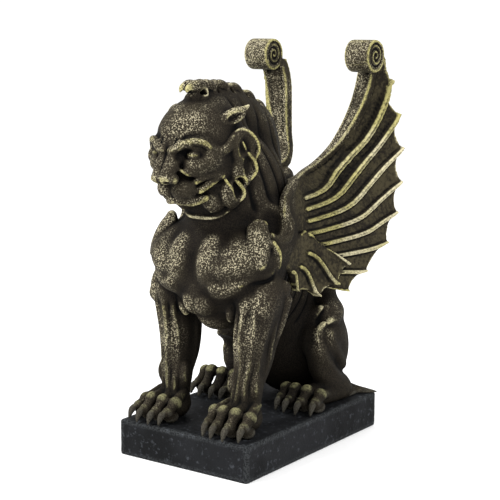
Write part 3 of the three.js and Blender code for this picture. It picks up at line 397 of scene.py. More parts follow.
# %% Chest
def shape_chest(clay):
    clay.add(egg([0, -54, 120], [14, 14, 17]), 4)
    clay.add(egg([0, -36, 102], [14, 20, 12]), 6)
    clay.add(egg([19, -37.4, 140.6], [31.6, 35.6, 21.4], [0, -20, 14]), 2)
    clay.add(egg([12, -55, 141], [12.5, 20, 21]), 4)
    clay.add(egg([24, -57, 127], [15, 13, 8], [0, -20, 22]), 5)
    clay.add(egg([5, -60, 114], [7.5, 9.5, 9.5], [0, 24, 0]), 2.5)
    clay.add(egg([25, -45, 151], [17, 15, 14]), 5)
    clay.cut(egg([9, -83, 175], [24, 21, 12.5], [0, -24, 18]), 1)
    clay.add(egg([18.5, -68.5, 127.5], [4.6, 4, 4]), 3)
    clay.line([[0, -73, 156], [0, -77, 145], [0, -75, 133]], 2, -2.4)


PECTORAL_EDGE = [
    [24, -71, 122.5], [29.5, -70, 124], [37, -65, 126], [42, -57, 130], [48, -47.5, 132],
    [50.5, -41, 137],
    [52.5, -42.5, 146], [50.5, -46, 153],
]


def shape_pectoral_edge(clay):
    clay.add(strand([[x - 1.4, y + 2, z + 3.6, 2.2] for x, y, z in PECTORAL_EDGE[2:]]), 3)
    clay.cut(strand([[*place, 1.3] for place in PECTORAL_EDGE]), 1.6)


print("knots in the edge of the chest plate:", len(PECTORAL_EDGE))

# %% [markdown]
# The forelegs are straight and stringy. Tendons run down them from elbow to wrist and never quite in
# parallel. One loop lays a thin strand for each tendon round the leg and lets its angle and depth
# wander by a sine, which is quicker to adjust than seven strands drawn by hand.

# %% Forelegs
FORELEG = [
    [38, -41, 122, 15, 0], [35.5, -41.5, 106, 13.5, 3], [33.3, -42.5, 88, 11.4, 4.5],
    [32, -44, 72, 10, 4],
    [31.3, -47.5, 58, 9, 2], [31, -50, 46, 9, 1], [31, -52, 36, 10, 0],
]
TENDON_ANGLES = [-130, -92, -57, -22, 18, 90, 160]
TENDON_WANDER = 7
TENDON_RADIUS = 2.2


def shape_foreleg(clay):
    for shift in (-1, 1.7):
        clay.add(strand([[x, y + shift * depth, z, r] for x, y, z, r, depth in FORELEG]), 4)
    for number, angle in enumerate(TENDON_ANGLES):
        knots = []
        for row, (x, y, z, r, depth) in enumerate(FORELEG):
            turn = math.radians(angle + TENDON_WANDER * math.sin(2.1 * number + 1.7 * row))
            sunk = 0.3 + 0.5 * math.cos(1.3 * number + 1.9 * row)
            out, forward = (r - 0.3 - sunk) * math.cos(turn), (r - sunk + depth) * math.sin(turn)
            knots.append([x + out, y + forward, z, TENDON_RADIUS])
        clay.add(strand(knots), 1)
    for out in (-1, 1):
        clay.add(egg([31 + 9.4 * out, -50.5, 57], [3.4, 5.5, 8], [0, 0, 25 * out]), 4)
    clay.add(egg([31.5, -55, 34], [13.5, 13, 9]), 4)
    clay.add(egg([44.5, -46, 116], [8, 11, 12], [12, 0, 0]), 4)
    clay.add(egg([35, -53, 117], [8, 7, 9], [0, 20, 0]), 4)
    clay.add(egg([21, -52, 109], [4, 5, 9], [0, 12, 0]), 2)
    clay.add(egg([48, -50, 113], [4.5, 6, 5.5]), 2)
    clay.add(egg([50, -33, 124], [5, 6, 6]), 1.5)
    clay.add(strand([[50, -30, 116, 4.6], [47, -31, 100, 3], [42, -33, 84, 2.2]]), 2)


print("tendons on a foreleg:", len(TENDON_ANGLES))

# %% [markdown]
# The hind legs are folded under the rump. The thigh is a heavy egg with a raised edge curling down to
# the hock, and the flank shows shallow folds. The folds could be many thin strands, but a wave added
# to the distances inside a soft-edged box draws them all at once.

# %% Hind legs and flank
def shape_hindleg(clay):
    clay.add(strand([[30, 46, 98, 12], [26, 48, 112, 12], [22, 44, 130, 14]]), 6)
    clay.add(egg([34, 42, 92], [14.5, 18.5, 13]), 4)
    clay.add(egg([35.5, 38.5, 75.5], [16, 19, 19.5], [10, 0, 0]), 3)
    clay.add(egg([37, 48, 67], [13, 15, 25]), 4)
    clay.add(strand([[40, 27, 68, 9.6], [39.5, 31, 57, 9.5], [41, 37, 46, 9.8], [42, 49, 38, 9.6]]), 3)
    clay.add(strand([[42, 54, 34, 9], [40, 36, 34, 8.8], [37, 20, 34, 8.6]]), 3)
    clay.cut(strand([
        [52.5, 26, 85, 2], [51.5, 23.5, 77, 3], [52, 26, 68, 3], [52, 34, 59, 2.5],
        [51, 42, 50, 1.5],
    ]), 2)
    clay.cut(egg([56, 43, 72], [4.5, 6, 4.5]), 2)
    clay.add(strand([
        [48.2, 39, 89.4, 1.8], [48.2, 30.4, 90.4, 2], [45.4, 23.4, 87.4, 2.2],
        [43.2, 21.6, 81, 2.3], [44, 21, 73, 2],
        [46.6, 23.5, 64.5, 2], [47.8, 30.2, 56.6, 2.2], [48, 38, 48.6, 1.8], [47.7, 44, 42.6, 1.5],
    ]), 4)
    clay.add(strand([
        [48.8, 30, 81, 1.8], [49.2, 30.5, 75, 2.2], [49.4, 35, 68.5, 2.2], [48.8, 42, 61, 2.2],
        [47, 50, 53, 2],
    ]), 4)
    clay.add(strand([
        [38.4, 27.6, 96, 2], [41.6, 29.6, 99, 2.4], [44.6, 37, 97, 2.4], [46.6, 44, 91, 2],
    ]), 3.4)


def shape_flank(clay):
    clay.grooves([14, -26, 84], [60, 34, 132], [0, 0.93, -0.36], 8, 1.8)


print("haunch and flank ready")

# %% [markdown]
# Every paw has four toes, each with two knuckles and a hooked claw. One function makes a paw from the
# place of its middle, so the four paws differ only in their numbers. The far paws stand a little
# differently from the near ones, as on the real figure, so paws are made after the halves are joined.

# %% Paws
TOE_SPREAD = [[-14.5, -12.5, 2], [-5.5, -4.5, 0], [4.5, 5.6, 0], [13.2, 16, 4]]


def shape_paw(clay, side, middle, y, height, length, rise):
    for ball_out, tip_out, set_back in TOE_SPREAD:
        ball = [side * (middle + ball_out), y + set_back, height - 0.6 * set_back]
        tip = [side * (middle + tip_out), ball[1] - length, 27.2]
        joint = [mix(ball[0], tip[0], 0.4), mix(ball[1], tip[1], 0.45), 34]
        wrist = [side * (middle + 0.75 * ball_out), ball[1] + 13, height + rise, 3.2]
        clay.add(strand([wrist, [*ball, 3.6]]), 1.5)
        clay.add(strand([[*ball, 3.8], [*joint, 3.4]]), 1)
        clay.add(egg(ball, [4.9, 5, 4.8]), 0.8)
        clay.add(egg(joint, [4.1, 4.4, 4.2]), 0.8)
        clay.add(egg([joint[0], joint[1] + 4, 30], [4.4, 6, 4]), 1)
        nail = [mix(joint[0], tip[0], 0.75), mix(joint[1], tip[1], 0.72), 32.6, 2.4]
        clay.add(strand([[joint[0], joint[1] - 2.5, 34.6, 2.3], nail, [*tip, 0.9]], 4), 0.3)


print("toes on a paw:", len(TOE_SPREAD))

# %% [markdown]
# The head is a round skull with a heavy brow over a short, broad muzzle. It starts as six plain eggs,
# and the features follow as functions of their own, from the largest to the smallest. This order
# matters, because a blend of a large form laid late would swallow the small ones.

# %% Head
def shape_head(clay):
    clay.add(egg([0, -58, 223.5], [28.4, 35, 30.8]), 6)
    clay.add(egg([0, -74, 223], [23, 19, 9.5]), 5)
    clay.add(egg([14, -58, 209], [13.5, 19, 17]), 6)
    clay.add(egg([20, -72, 215], [7.5, 13, 9], [0, 0, 25]), 4)
    clay.add(egg([12, -60, 189], [9, 11, 12]), 4)
    shape_muzzle(clay)
    shape_mouth(clay)
    shape_eye(clay)
    shape_brow(clay)


print("head mass ready")

# %% [markdown]
# The nose stands well out in front of two rounded pads, and the mouth runs back and up in a snarl
# with folds of lip above it. The pads are one egg a side. The mouth is a strand cut out of the mass,
# which gets wider towards its corner, and the lips are thin strands laid along it.

# %% Muzzle and mouth
def shape_muzzle(clay):
    clay.add(strand([[3, -90, 219, 5], [3.8, -95, 212, 5.2], [3.4, -98.6, 206.6, 4.8]]), 3)
    clay.add(egg([0, -78, 199], [13, 14, 11.5]), 4)
    clay.add(egg([5.4, -84.6, 195], [9, 9.4, 8.4], [0, 0, 24]), 2)
    clay.add(egg([3, -100, 203], [5.4, 5.8, 4.3]), 1.6)
    clay.add(egg([7, -96.6, 202.4], [3, 4.8, 3.4], [0, 0, 20]), 1.2)
    clay.cut(egg([5, -102.6, 200], [1.9, 3.2, 1.4]), 0.8)
    clay.add(strand([
        [10, -93, 208, 1], [13.5, -88.5, 205.6, 1.9], [18, -81.5, 206.4, 1.8], [22, -76, 210, 1.2],
    ]), 3)
    clay.line([[0, -104, 200], [0, -95, 198], [0, -95, 191]], 1.2, -1.4)


def shape_mouth(clay):
    clay.add(egg([0, -75, 188.4], [12.5, 13, 6]), 2)
    clay.add(strand([
        [15, -84, 200, 2], [18.4, -78.6, 203, 2.5], [21.6, -73, 204.6, 2.4], [25, -68, 203, 1.6],
    ]), 2.4)
    clay.add(strand([[15.5, -80, 194, 2.4], [18.6, -75.6, 197.4, 2.6], [21.6, -71, 200.4, 2]]), 2)
    clay.add(strand([
        [0, -88, 186.6, 2], [5, -86, 185.8, 2.1], [10.5, -80.5, 185.4, 2.2], [15, -73, 188, 2],
    ]), 2.4)
    clay.cut(strand([
        [0, -96, 191, 0.9], [6, -93, 189.4, 1], [11, -87, 188.2, 1.1], [15.5, -79.5, 190.4, 1.4],
        [19.5, -72, 195.6, 2.1], [23, -66, 199.2, 1.7],
    ]), 0.5)
    clay.add(strand([
        [19, -66, 193.4, 1.4], [20.5, -61, 188.6, 1.7], [18, -60.5, 182, 1.7],
        [12, -63.5, 178, 1.2],
    ]), 1.5)
    clay.add(strand([[16.5, -69, 189.4, 1.2], [17.5, -66, 185.6, 1.4], [14.5, -67.5, 182, 1]]), 1.2)


print("muzzle ready")

# %% [markdown]
# The eye sits deep under the brow, which is what makes the face fierce. A socket is cut first, a
# small ball is set into it, and a soft lower lid is laid round it. The brow is one thick strand that
# curls down at its outer end, with a shallow line above it to lift it from the forehead.

# %% Eye and brow
def shape_eye(clay):
    clay.add(egg([15, -83, 210.5], [9, 7.5, 6], [0, 0, 28]), 3)
    clay.cut(egg([14.6, -94, 218.6], [7.4, 8, 4.2], [0, 0, 28]), 1)
    clay.cut(egg([9.6, -95, 216.6], [3, 4, 3]), 1.5)
    clay.add(egg([15.2, -86.4, 217.6], [4.6, 3.6, 3.3], [0, 0, 28]), 0.6)
    clay.add(strand([
        [11.5, -90, 214, 0.8], [14.4, -89, 213.2, 1.1], [18.6, -85.6, 213.8, 1.1],
        [21, -82.6, 216, 0.8],
    ]), 2)


def shape_brow(clay):
    clay.add(strand([
        [3, -95.2, 220.4, 2.4], [5.4, -95.4, 221.2, 2.7], [8.4, -94, 223.2, 2.8],
        [12, -91.8, 225.4, 2.7],
        [17, -88.4, 226.8, 2.5], [21.6, -83.8, 225.8, 2.3], [24.2, -80.8, 222.4, 2],
        [23.8, -81.4, 219, 1.3],
    ]), 1)
    clay.line([
        [6, -93, 228], [11, -90, 230], [17, -85, 231.6], [23, -79.5, 230], [27, -74, 226],
    ], 1.6, -0.9)
    clay.add(strand([
        [24, -79, 222, 1.6], [27.5, -72, 219.4, 2], [29, -65, 221.5, 2], [29, -61, 226, 1.8],
    ]), 2.4)
    clay.add(strand([
        [21.5, -79.9, 212.5, 1.6], [24.2, -76, 216.9, 2], [26.6, -71.7, 220.2, 2.1],
        [28.4, -66.6, 223.3, 2], [29.4, -61.7, 228.8, 1.6],
    ]), 2)
    for out, top in ((3.4, 231), (7.4, 233)):
        clay.line([[out, -95, 222], [out + 0.4, -92.5, 227], [out + 1, -89, top]], 1.3, 1)


print("face ready")

# %% [markdown]
# Small pointed ears lie back on the head, and three leaf-shaped locks hang behind each cheek. A lock
# is an egg with a slightly smaller egg cut out of it, which leaves a thin shell, and a strand runs
# round its rim. The three locks share one loop and differ only in their numbers.

# %% Ears and locks
EAR_TURN = [21, 0, -19]


def shape_ear(clay):
    clay.add(egg([25, -56.5, 241.5], [4.2, 11, 5.6], EAR_TURN), 1.5)
    clay.add(strand([[27, -50, 245, 2.6], [28.5, -43.5, 248.3, 1]]), 1.5)
    clay.cut(egg([29.4, -58.5, 241], [3.8, 7.6, 3.2], EAR_TURN), 0.8)


LOCKS = [
    {
        "lobe": ([29.5, -51, 221], [6, 12, 14], 12), "hollow": ([38, -54, 221.5], [7.5, 8.4, 10.2]),
        "rim": [
            [28, -62.5, 227], [29, -59.5, 231.2], [32, -55, 233], [34.5, -48.5, 230],
            [35.2, -42.6, 223.5], [35, -41.5, 217.5], [34, -44.5, 213.2],
        ],
        "inner": [[30, -60, 228], [31.6, -54.5, 224.4], [31.6, -50, 217]],
    },
    {
        "lobe": ([28, -51, 206.5], [5.8, 10.5, 13.5], 15), "hollow": ([36.5, -50, 208], [6.5, 6.2, 10]),
        "rim": [
            [33, -50, 217], [34, -44.5, 211.5], [34, -42.4, 205], [32.4, -46.4, 200],
            [29, -50.5, 197],
        ],
        "inner": [[29.5, -60, 217], [31.6, -56.6, 210.5], [31.6, -53, 203.5], [29, -51, 198]],
    },
    {
        "lobe": ([22.5, -55.5, 191.5], [6, 9.6, 12.4], 20), "hollow": ([30.5, -54.6, 193], [6, 5.4, 9]),
        "rim": [
            [28, -58, 200], [28.8, -50.5, 193.4], [28.4, -49, 188], [26, -53, 184.4],
            [21, -57, 182.4],
        ],
        "inner": [[25.6, -66, 200.6], [27, -61, 194], [25.6, -58.4, 188], [21.5, -57.6, 183.4]],
    },
]


def shape_locks(clay):
    for lock in LOCKS:
        (centre, radii, tilt), (hollow, hollow_radii) = lock["lobe"], lock["hollow"]
        clay.add(egg(centre, radii, [tilt, 0, 0]), 1.5)
        clay.cut(egg(hollow, hollow_radii, [tilt, 0, 0]), 0.6)
        clay.add(strand([[*knot, 1.4] for knot in lock["rim"]], 3), 0.6)
        clay.add(strand([[*knot, 1] for knot in lock["inner"]], 3), 0.6)


print("locks on each side:", len(LOCKS))

# %% [markdown]
# A crest of curling locks runs from the forehead down the back of the neck. One lock is a hooked
# strand with a hollow under its tip and a side fold. A loop sets nine of them along the crest line,
# each turned to the line and a little smaller than the one before.

# %% Crest
CREST_LINE = through_knots([
    [-66, 257.6], [-48, 258], [-28, 256], [-8, 249.6], [9, 239], [19, 220.5], [22, 199], [19, 180],
], 5)
CREST_LOCKS = 9
LOCK_SIZE = [6.2, 3.2]
HOOK = [
    (-0.833, -0.833, 0.6), (-0.567, 0.233, 0.76), (0.25, 0.633, 0.7),
    (1, 0.633, 0.5), (1.567, 0.467, 0.34), (1.767, 0.1, 0.2),
]
FOLD = [(-0.833, 0.333, 0.2, 0.5), (-0.5, -0.417, 0.62, 0.42), (0.167, -1.083, 0.76, 0.24)]


def shape_crest(clay):
    knots = CREST_LINE[::5]
    clay.add(strand([[0, y + 1, z - 4, 6 if i < 4 else 8] for i, (y, z) in enumerate(knots)]), 3)
    clay.add(strand([[0, mix(y, -24, 0.3), mix(z, 205, 0.3), 15] for y, z in knots]), 6)
    clay.grooves([8, -52, 172], [60, 34, 262], [0, 0.96, 0.27], 13, 2.4)
    for i in range(CREST_LOCKS):
        t = i / (CREST_LOCKS - 0.4)
        here = int(t * (len(CREST_LINE) - 3))
        (y, z), (y_next, z_next) = CREST_LINE[here], CREST_LINE[here + 2]
        stride = math.hypot(y_next - y, z_next - z)
        ahead = np.array([0, y - y_next, z - z_next]) / stride
        above = np.array([0, ahead[2], -ahead[1]])
        size = mix(*LOCK_SIZE, t)
        centre = np.array([size * 0.42, y, z])
        ahead, above, outward = ahead * size, above * size, np.array([size, 0, 0])
        hook = [[*(centre + ahead * a + above * b), size * r] for a, b, r in HOOK]
        clay.add(strand(hook, 3), 0.6)
        hollow = centre + ahead * 1.43 - above * 0.1
        clay.cut(egg(hollow, [size * 1.4, size * 0.4, size * 0.4]), 0.5)
        fold = [[*(centre + ahead * a + above * b + outward * c), size * r] for a, b, c, r in FOLD]
        clay.add(strand(fold, 3), 0.6)


print("locks in the crest:", CREST_LOCKS)

# %% [markdown]
# The wing grows out of the back of the shoulder, where a ribbon of skin curls round to the front and
# hangs down as a broad strap. Strands side by side with a little blend between them give a strap a
# rounded top without a visible seam. A thin collar line closes the throat.

# %% Wing root, strap and collar
def shape_wing_root(clay):
    clay.add(egg([22, 8, 158], [12, 32, 25], [12, 0, -4]), 6)
    clay.add(strand([[13, 58, 188, 8], [6, 42, 172, 16], [0, 40, 150, 22]]), 6)
    clay.add(strand([[26, 20, 158, 12], [24, 50, 150, 12], [18, 62, 128, 12]]), 8)


def shape_shoulder_ribbon(clay):
    clay.add(egg([33, -20, 156], [15, 20, 25]), 8)
    clay.cut(egg([41, -33, 172], [8, 9, 12], [0, 0, -20]), 4)
    clay.add(strand([
        [32, 6, 191, 3.8], [39, -14, 184.5, 3.8], [43, -21, 175, 3.6], [45.5, -18, 166, 3.2],
        [47, -23, 158, 3], [46.5, -31, 156.5, 2.8], [43.5, -38, 160, 2.8],
    ]), 1)
    clay.add(strand([
        [34, -48.5, 165.5, 2.8], [38.5, -54, 156.5, 3.4], [42.5, -56, 148.5, 3.2],
        [45.6, -55.4, 142, 2],
    ]), 1)
    clay.add(strand([
        [39.5, -43, 168.5, 2.8], [44, -46, 161, 3.4], [47, -49.5, 152, 3], [47.6, -53, 144, 2],
    ]), 1.6)
    clay.add(strand([[34.5, -47, 166.5, 2.6], [37, -45, 169.6, 2.8], [40.5, -42.5, 168.5, 2.6]]), 1.5)
    clay.add(strand([
        [37, -46, 166.6, 4], [41, -50, 158.5, 4.8], [44.4, -52.6, 150, 4.2],
        [46.6, -54.2, 142.6, 2.6],
    ]), 2.5)


def shape_collar(clay):
    clay.add(strand([
        [0, -62, 172.5, 1.3], [8, -60.5, 172.5, 1.3], [15, -56.5, 174.5, 1.3],
        [21, -52.5, 180, 1.3], [25.5, -51, 187, 1.2],
    ]), 1.4)


print("wing root and strap ready")

# %% [markdown]
# Now the forms are laid in order, from the trunk to the finest line, and the half is mirrored. The
# paws, the tail and the low mound behind the near haunch follow, because they differ from side to
# side. The cell size decides how fine the carving is and how long it takes. Cells just under a
# millimetre show every knuckle and rib.

# %% Sculpting
SOLE_LEVEL = 26.3


def sculpt(cell):
    clay = Clay([0, -116, 20], [80, 116, 296], cell)
    shape_body(clay)
    shape_hindleg(clay)
    shape_flank(clay)
    shape_foreleg(clay)
    shape_chest(clay)
    shape_pectoral_edge(clay)
    shape_head(clay)
    shape_crest(clay)
    shape_ear(clay)
    shape_locks(clay)
    shape_wing_root(clay)
    shape_shoulder_ribbon(clay)
    shape_wing(clay)
    shape_collar(clay)
    whole = clay.mirrored()
    whole.cut(egg([-40, 11, 56], [22, 21, 14]), 3)
    shape_paw(whole, 1, 31, -68, 41.5, 17, 3)
    shape_paw(whole, -1, 33.6, -68, 40.5, 16, 3)
    shape_paw(whole, 1, 36, 11.5, 40.5, 17, -5)
    shape_paw(whole, -1, 38, 7, 44, 15, -5)
    whole.add(strand([
        [0, 68, 66, 9], [-8, 76, 46, 7], [-4, 76, 34, 6.5], [14, 75, 28, 6], [30, 74, 26.5, 5.5],
    ]), 2)
    whole.add(egg([34, 66, 26], [13.5, 18, 7]), 3)
    whole.add(strand([
        [32, 74, 26, 6], [44, 76, 25.6, 5], [51, 78.5, 25.6, 3.6], [56, 81.5, 25.6, 2],
    ]), 2)
    whole.field = np.maximum(whole.field, SOLE_LEVEL - whole.axes[2])
    return whole


clay = sculpt(0.95)
print("cells of clay:", clay.field.shape)

# %% [markdown]
# The clay has to become a mesh. A voxel remesh could do it, but it first needs a mesh to start from.
# Surface nets are simple: every cell that the surface crosses gets one point, at the mean of its
# crossings, and every crossed edge of the grid joins its four neighbours to a face. Faces are turned
# to look outwards.

# %% Taking the surface off the clay
def take_surface(clay):
    field, cell = clay.field, clay.cell
    inside = field < 0
    corners = [(i, j, k) for i in (0, 1) for j in (0, 1) for k in (0, 1)]

    def corner(values, i, j, k):
        nx, ny, nz = values.shape
        return values[i:nx - 1 + i, j:ny - 1 + j, k:nz - 1 + k]

    count = sum(corner(inside, *c).astype(np.int8) for c in corners)
    active = (count > 0) & (count < 8)
    place = np.argwhere(active)
    number = np.full(active.shape, -1, np.int32)
    number[active] = np.arange(len(place))
    total = np.zeros((len(place), 3))
    crossings = np.zeros(len(place))
    for a in corners:
        for axis in range(3):
            if a[axis]:
                continue
            va = field[tuple((place + a).T)]
            step = np.eye(3, dtype=int)[axis]
            vb = field[tuple((place + a + step).T)]
            crossed = (va < 0) != (vb < 0)
            t = np.where(crossed, va / np.where(crossed, va - vb, 1), 0)
            total += crossed[:, None] * (np.array(a) + t[:, None] * step)
            crossings += crossed
    points = clay.low + cell * (place + total / crossings[:, None])
    quads = []
    for axis in range(3):
        side, up = (axis + 1) % 3, (axis + 2) % 3
        first = np.take(inside, range(0, inside.shape[axis] - 1), axis)
        second = np.take(inside, range(1, inside.shape[axis]), axis)
        edges = np.argwhere(first != second)
        edges = edges[(edges[:, side] > 0) & (edges[:, up] > 0)]
        s, u = np.eye(3, dtype=int)[[side, up]]
        ring = [number[tuple((edges - shift).T)] for shift in (s + u, u, 0 * u, s)]
        ring = np.stack(ring, 1)
        outward = first[tuple(edges.T)]
        ring[~outward] = ring[~outward][:, ::-1]
        quads.append(ring)
    return points, np.vstack(quads)


points, quads = take_surface(clay)
print("surface points:", len(points))

# %% [markdown]
# The net has far more faces than anybody sees. One light smoothing pass takes out the steps of the
# grid, and a Decimate modifier keeps triangles where the form bends and drops them where it is flat.
# Both are applied at once, so the kept mesh is the real thing.

# %% Lion mesh
FACE_LIMIT = 196000


def mesh_object(name, points, faces):
    mesh = bpy.data.meshes.new(name)
    mesh.from_pydata(points.tolist(), [], faces.tolist())
    piece = bpy.data.objects.new(name, mesh)
    bpy.context.scene.collection.objects.link(piece)
    return piece


def applied(piece):
    bpy.context.view_layer.update()
    graph = bpy.context.evaluated_depsgraph_get()
    mesh = bpy.data.meshes.new_from_object(piece.evaluated_get(graph))
    piece.modifiers.clear()
    piece.data = mesh
    return piece


lion = mesh_object("lion_cast", points / 1000, quads)
smooth = lion.modifiers.new("relax", "SMOOTH")
smooth.factor, smooth.iterations = 0.5, 1
thin = lion.modifiers.new("thin", "DECIMATE")
thin.ratio = min(1, FACE_LIMIT / (2 * len(quads)))
applied(lion)
lion.data.shade_smooth()
print("lion triangles:", len(lion.data.polygons))

# %% [markdown]
# The look of the figure lies in what is raised and what is hollow. A shader can find edges by itself,
# but only when rendering, and only at one scale. The clay knows more: a blurred copy of its
# distances, less the distance at the surface, is high on ridges and low in hollows. Three blurs give
# fine edges, swellings and open places.

# %% Height maps
def blurred(values, radius):
    half = max(1, round(radius))
    for axis in range(3):
        padded = np.pad(values, [(half + 1, half) if i == axis else (0, 0) for i in range(3)], "edge")
        total = np.cumsum(padded, axis, dtype=np.float64)
        size = values.shape[axis]
        upper = np.take(total, range(2 * half + 1, 2 * half + 1 + size), axis)
        lower = np.take(total, range(size), axis)
        values = ((upper - lower) / (2 * half + 1)).astype(np.float32)
    return values


def sampled(values, clay, points):
    local = np.clip((points - clay.low) / clay.cell, 0, np.array(values.shape) - 1.001)
    whole = local.astype(int)
    part = local - whole
    total = 0
    for corner in np.ndindex(2, 2, 2):
        weight = np.prod(np.where(corner, part, 1 - part), axis=1)
        total = total + weight * values[tuple((whole + corner).T)]
    return total


def add_attribute(mesh, name, values):
    attribute = mesh.attributes.new(name, "FLOAT", "POINT")
    attribute.data.foreach_set("value", np.asarray(values, np.float32))


print("blur and sampling ready")

# %% [markdown]
# The ribs of the wings carry two thin lines of paint along their edges. To draw them the shader needs
# to know how far a point is from the middle of its rib, and on which side. That is worked out from
# the same rib curves and kept on the mesh, next to the heights.

# %% Ribs for the brush
def signed_distance(lines, y, z):
    best = np.full(y.shape, 99.0)
    for line in lines:
        for (ay, az), (by, bz) in zip(line, line[1:]):
            ey, ez = by - ay, bz - az
            t = np.clip(((y - ay) * ey + (z - az) * ez) / (ey * ey + ez * ez), 0, 1)
            gap = np.hypot(y - ay - t * ey, z - az - t * ez)
            side = np.where((y - ay) * ez > (z - az) * ey, 1, -1)
            best = np.where(gap < np.abs(best), side * gap, best)
    return best


def rib_distance(places):
    x, y, z = np.abs(places[:, 0]), places[:, 1], places[:, 2]
    off, lean = x - wing_middle(y, z), wing_lean(y, z)
    on_fan = (outline_distance(fan_outline, y, z) < 1) & (np.abs(off) * lean < 4.5)
    on_tier = (outline_distance(tier_outline, y, z) < 1) & (off > 2) & ((off - 4) * lean < 4.5)
    to_fan, to_tier = signed_distance(fan_ribs, y, z), signed_distance(tier_ribs, y, z)
    return np.where(on_tier, to_tier, np.where(on_fan, to_fan, 99))


shallow = np.clip(clay.field, -2, 2)
co = np.zeros(len(lion.data.vertices) * 3, np.float32)
lion.data.vertices.foreach_get("co", co)
surface = co.reshape(-1, 3) * 1000
level = sampled(shallow, clay, surface)
for name, radius in (("raised", 1.4), ("swell", 3), ("open", 6)):
    near = blurred(blurred(shallow, radius / clay.cell), radius / clay.cell)
    add_attribute(lion.data, name, sampled(near, clay, surface) - level)
to_rib = rib_distance(surface)
add_attribute(lion.data, "rib", np.clip(to_rib, -3, 3))
add_attribute(lion.data, "web", np.minimum(np.abs(to_rib), 20))
print("points with a height:", len(surface))

# %% [markdown]
# A finish is mostly arithmetic on masks. Building it from nodes one by one is slow to write and hard
# to read, so a small class wraps a socket and lets masks be added and multiplied as numbers. One
# method makes any node from its kind, its settings and its inputs.

# %% Shader tools
class Value:
    def __init__(self, shader, socket):
        self.shader = shader
        self.socket = socket

    def maths(self, operation, first, second):
        return self.shader.node("Math", {"operation": operation}, {0: first, 1: second})

    def __add__(self, other):
        return self.maths("ADD", self, other)

    def __mul__(self, other):
        return self.maths("MULTIPLY", self, other)

    def __sub__(self, other):
        return self.maths("SUBTRACT", self, other)

    def __rsub__(self, other):
        return self.maths("SUBTRACT", other, self)

    __radd__, __rmul__ = __add__, __mul__

    def between(self, low, high):
        settings = {"interpolation_type": "SMOOTHSTEP"}
        return self.shader.node("MapRange", settings, {0: self, 1: low, 2: high})


class Shader:
    def __init__(self, name):
        self.material = bpy.data.materials.new(name)
        self.material.use_nodes = True
        self.tree = self.material.node_tree
        self.surface = self.tree.nodes["Principled BSDF"]
        self.place = self.node("TexCoord", {}, {}, "Object")
        self.normal = self.node("TexCoord", {}, {}, "Normal")

    def fill(self, node, inputs):
        for key, value in inputs.items():
            if isinstance(value, Value):
                self.tree.links.new(value.socket, node.inputs[key])
            else:
                node.inputs[key].default_value = value

    def node(self, kind, settings, inputs, output=0):
        node = self.tree.nodes.new("ShaderNode" + kind)
        for key, value in settings.items():
            setattr(node, key, value)
        self.fill(node, inputs)
        return Value(self, node.outputs[output])

    def noise(self, scale, detail=3, roughness=0.5):
        inputs = {"Vector": self.place, "Scale": scale, "Detail": detail, "Roughness": roughness}
        return self.node("TexNoise", {}, inputs)

    def attribute(self, name):
        return self.node("Attribute", {"attribute_name": name}, {}, "Fac")

    def mix(self, amount, first, second):
        colours = {"Factor": amount, 6: first, 7: second}
        return self.node("Mix", {"data_type": "RGBA"}, colours, 2)

    def finish(self, **inputs):
        self.fill(self.surface, {key.replace("_", " "): value for key, value in inputs.items()})
        return self.material


print("shader tools ready")

# %% [markdown]
# The real figure is cast in a pale stone mix, stained nearly black and then brushed with cream.
# Everything in the finish follows from a few masks: height at three scales, the side turned to the
# painted light, height above the ground, the wing sheets, and noise from broad clouds down to grains
# of a millimetre.

# %% Masks
def colour(hex_code):
    parts = [int(hex_code[i:i + 2], 16) / 255 for i in (0, 2, 4)]
    return [c / 12.92 if c <= 0.04045 else ((c + 0.055) / 1.055) ** 2.4 for c in parts] + [1]


cast = Shader("aged cast stone")
raised, swell, open_air = [cast.attribute(name) for name in ("raised", "swell", "open")]
rib, web = cast.attribute("rib"), cast.attribute("web")
across, depth, level = [cast.node("SeparateXYZ", {}, {0: cast.place}, axis) for axis in (0, 1, 2)]
blotch, grain = cast.noise(45, 3), cast.noise(420, 3, 0.7)
sand, dust = cast.noise(1000, 2, 0.6), cast.noise(1700, 2, 0.8)
cloud = cast.noise(16, 3)
sheet_share = web.between(19, 12)
# painted light: direction of a painted lamp; surfaces turned to it get paler paint, surfaces turned away
# get painted shade
PAINTED_LIGHT_FROM = (-0.3, -0.7, 0.6)
facing_painted_light = cast.node("VectorMath", {"operation": "DOT_PRODUCT"}, {0: cast.normal, 1: PAINTED_LIGHT_FROM}, "Value")
print("masks for the lion: ready")

# %% [markdown]
# The ground coat is the dark stain, with painted shade laid into it. The first mix runs from black to
# a warm dark brown by openness, which paints shade into the hollows, and the clouds add a green-grey
# tint. The undersides turned away from the painted light get painted shade too, the coat is darker
# towards the bottom, where the feet are, and the space between the legs is painted dark as shade.
# Separate coats are easier to tune than one ramp.

# %% Ground coat and painted shade
# painted shade: hollows go towards black, open places stay warm brown
body = cast.mix(open_air.between(-0.5, 0.45), colour("040303"), colour("1b1712"))
body = cast.mix(cloud.between(0.42, 0.6) * open_air.between(-0.3, 0.4) * 0.7, body, colour("201d15"))
# painted shade: surfaces turned away from the painted light are darkened
body = cast.mix(facing_painted_light.between(0.1, -0.75) * 0.85, body, colour("050404"))
body = cast.mix(level.between(0.13, 0.035) * 0.75, body, colour("0d0b08"))
print("ground coat laid")
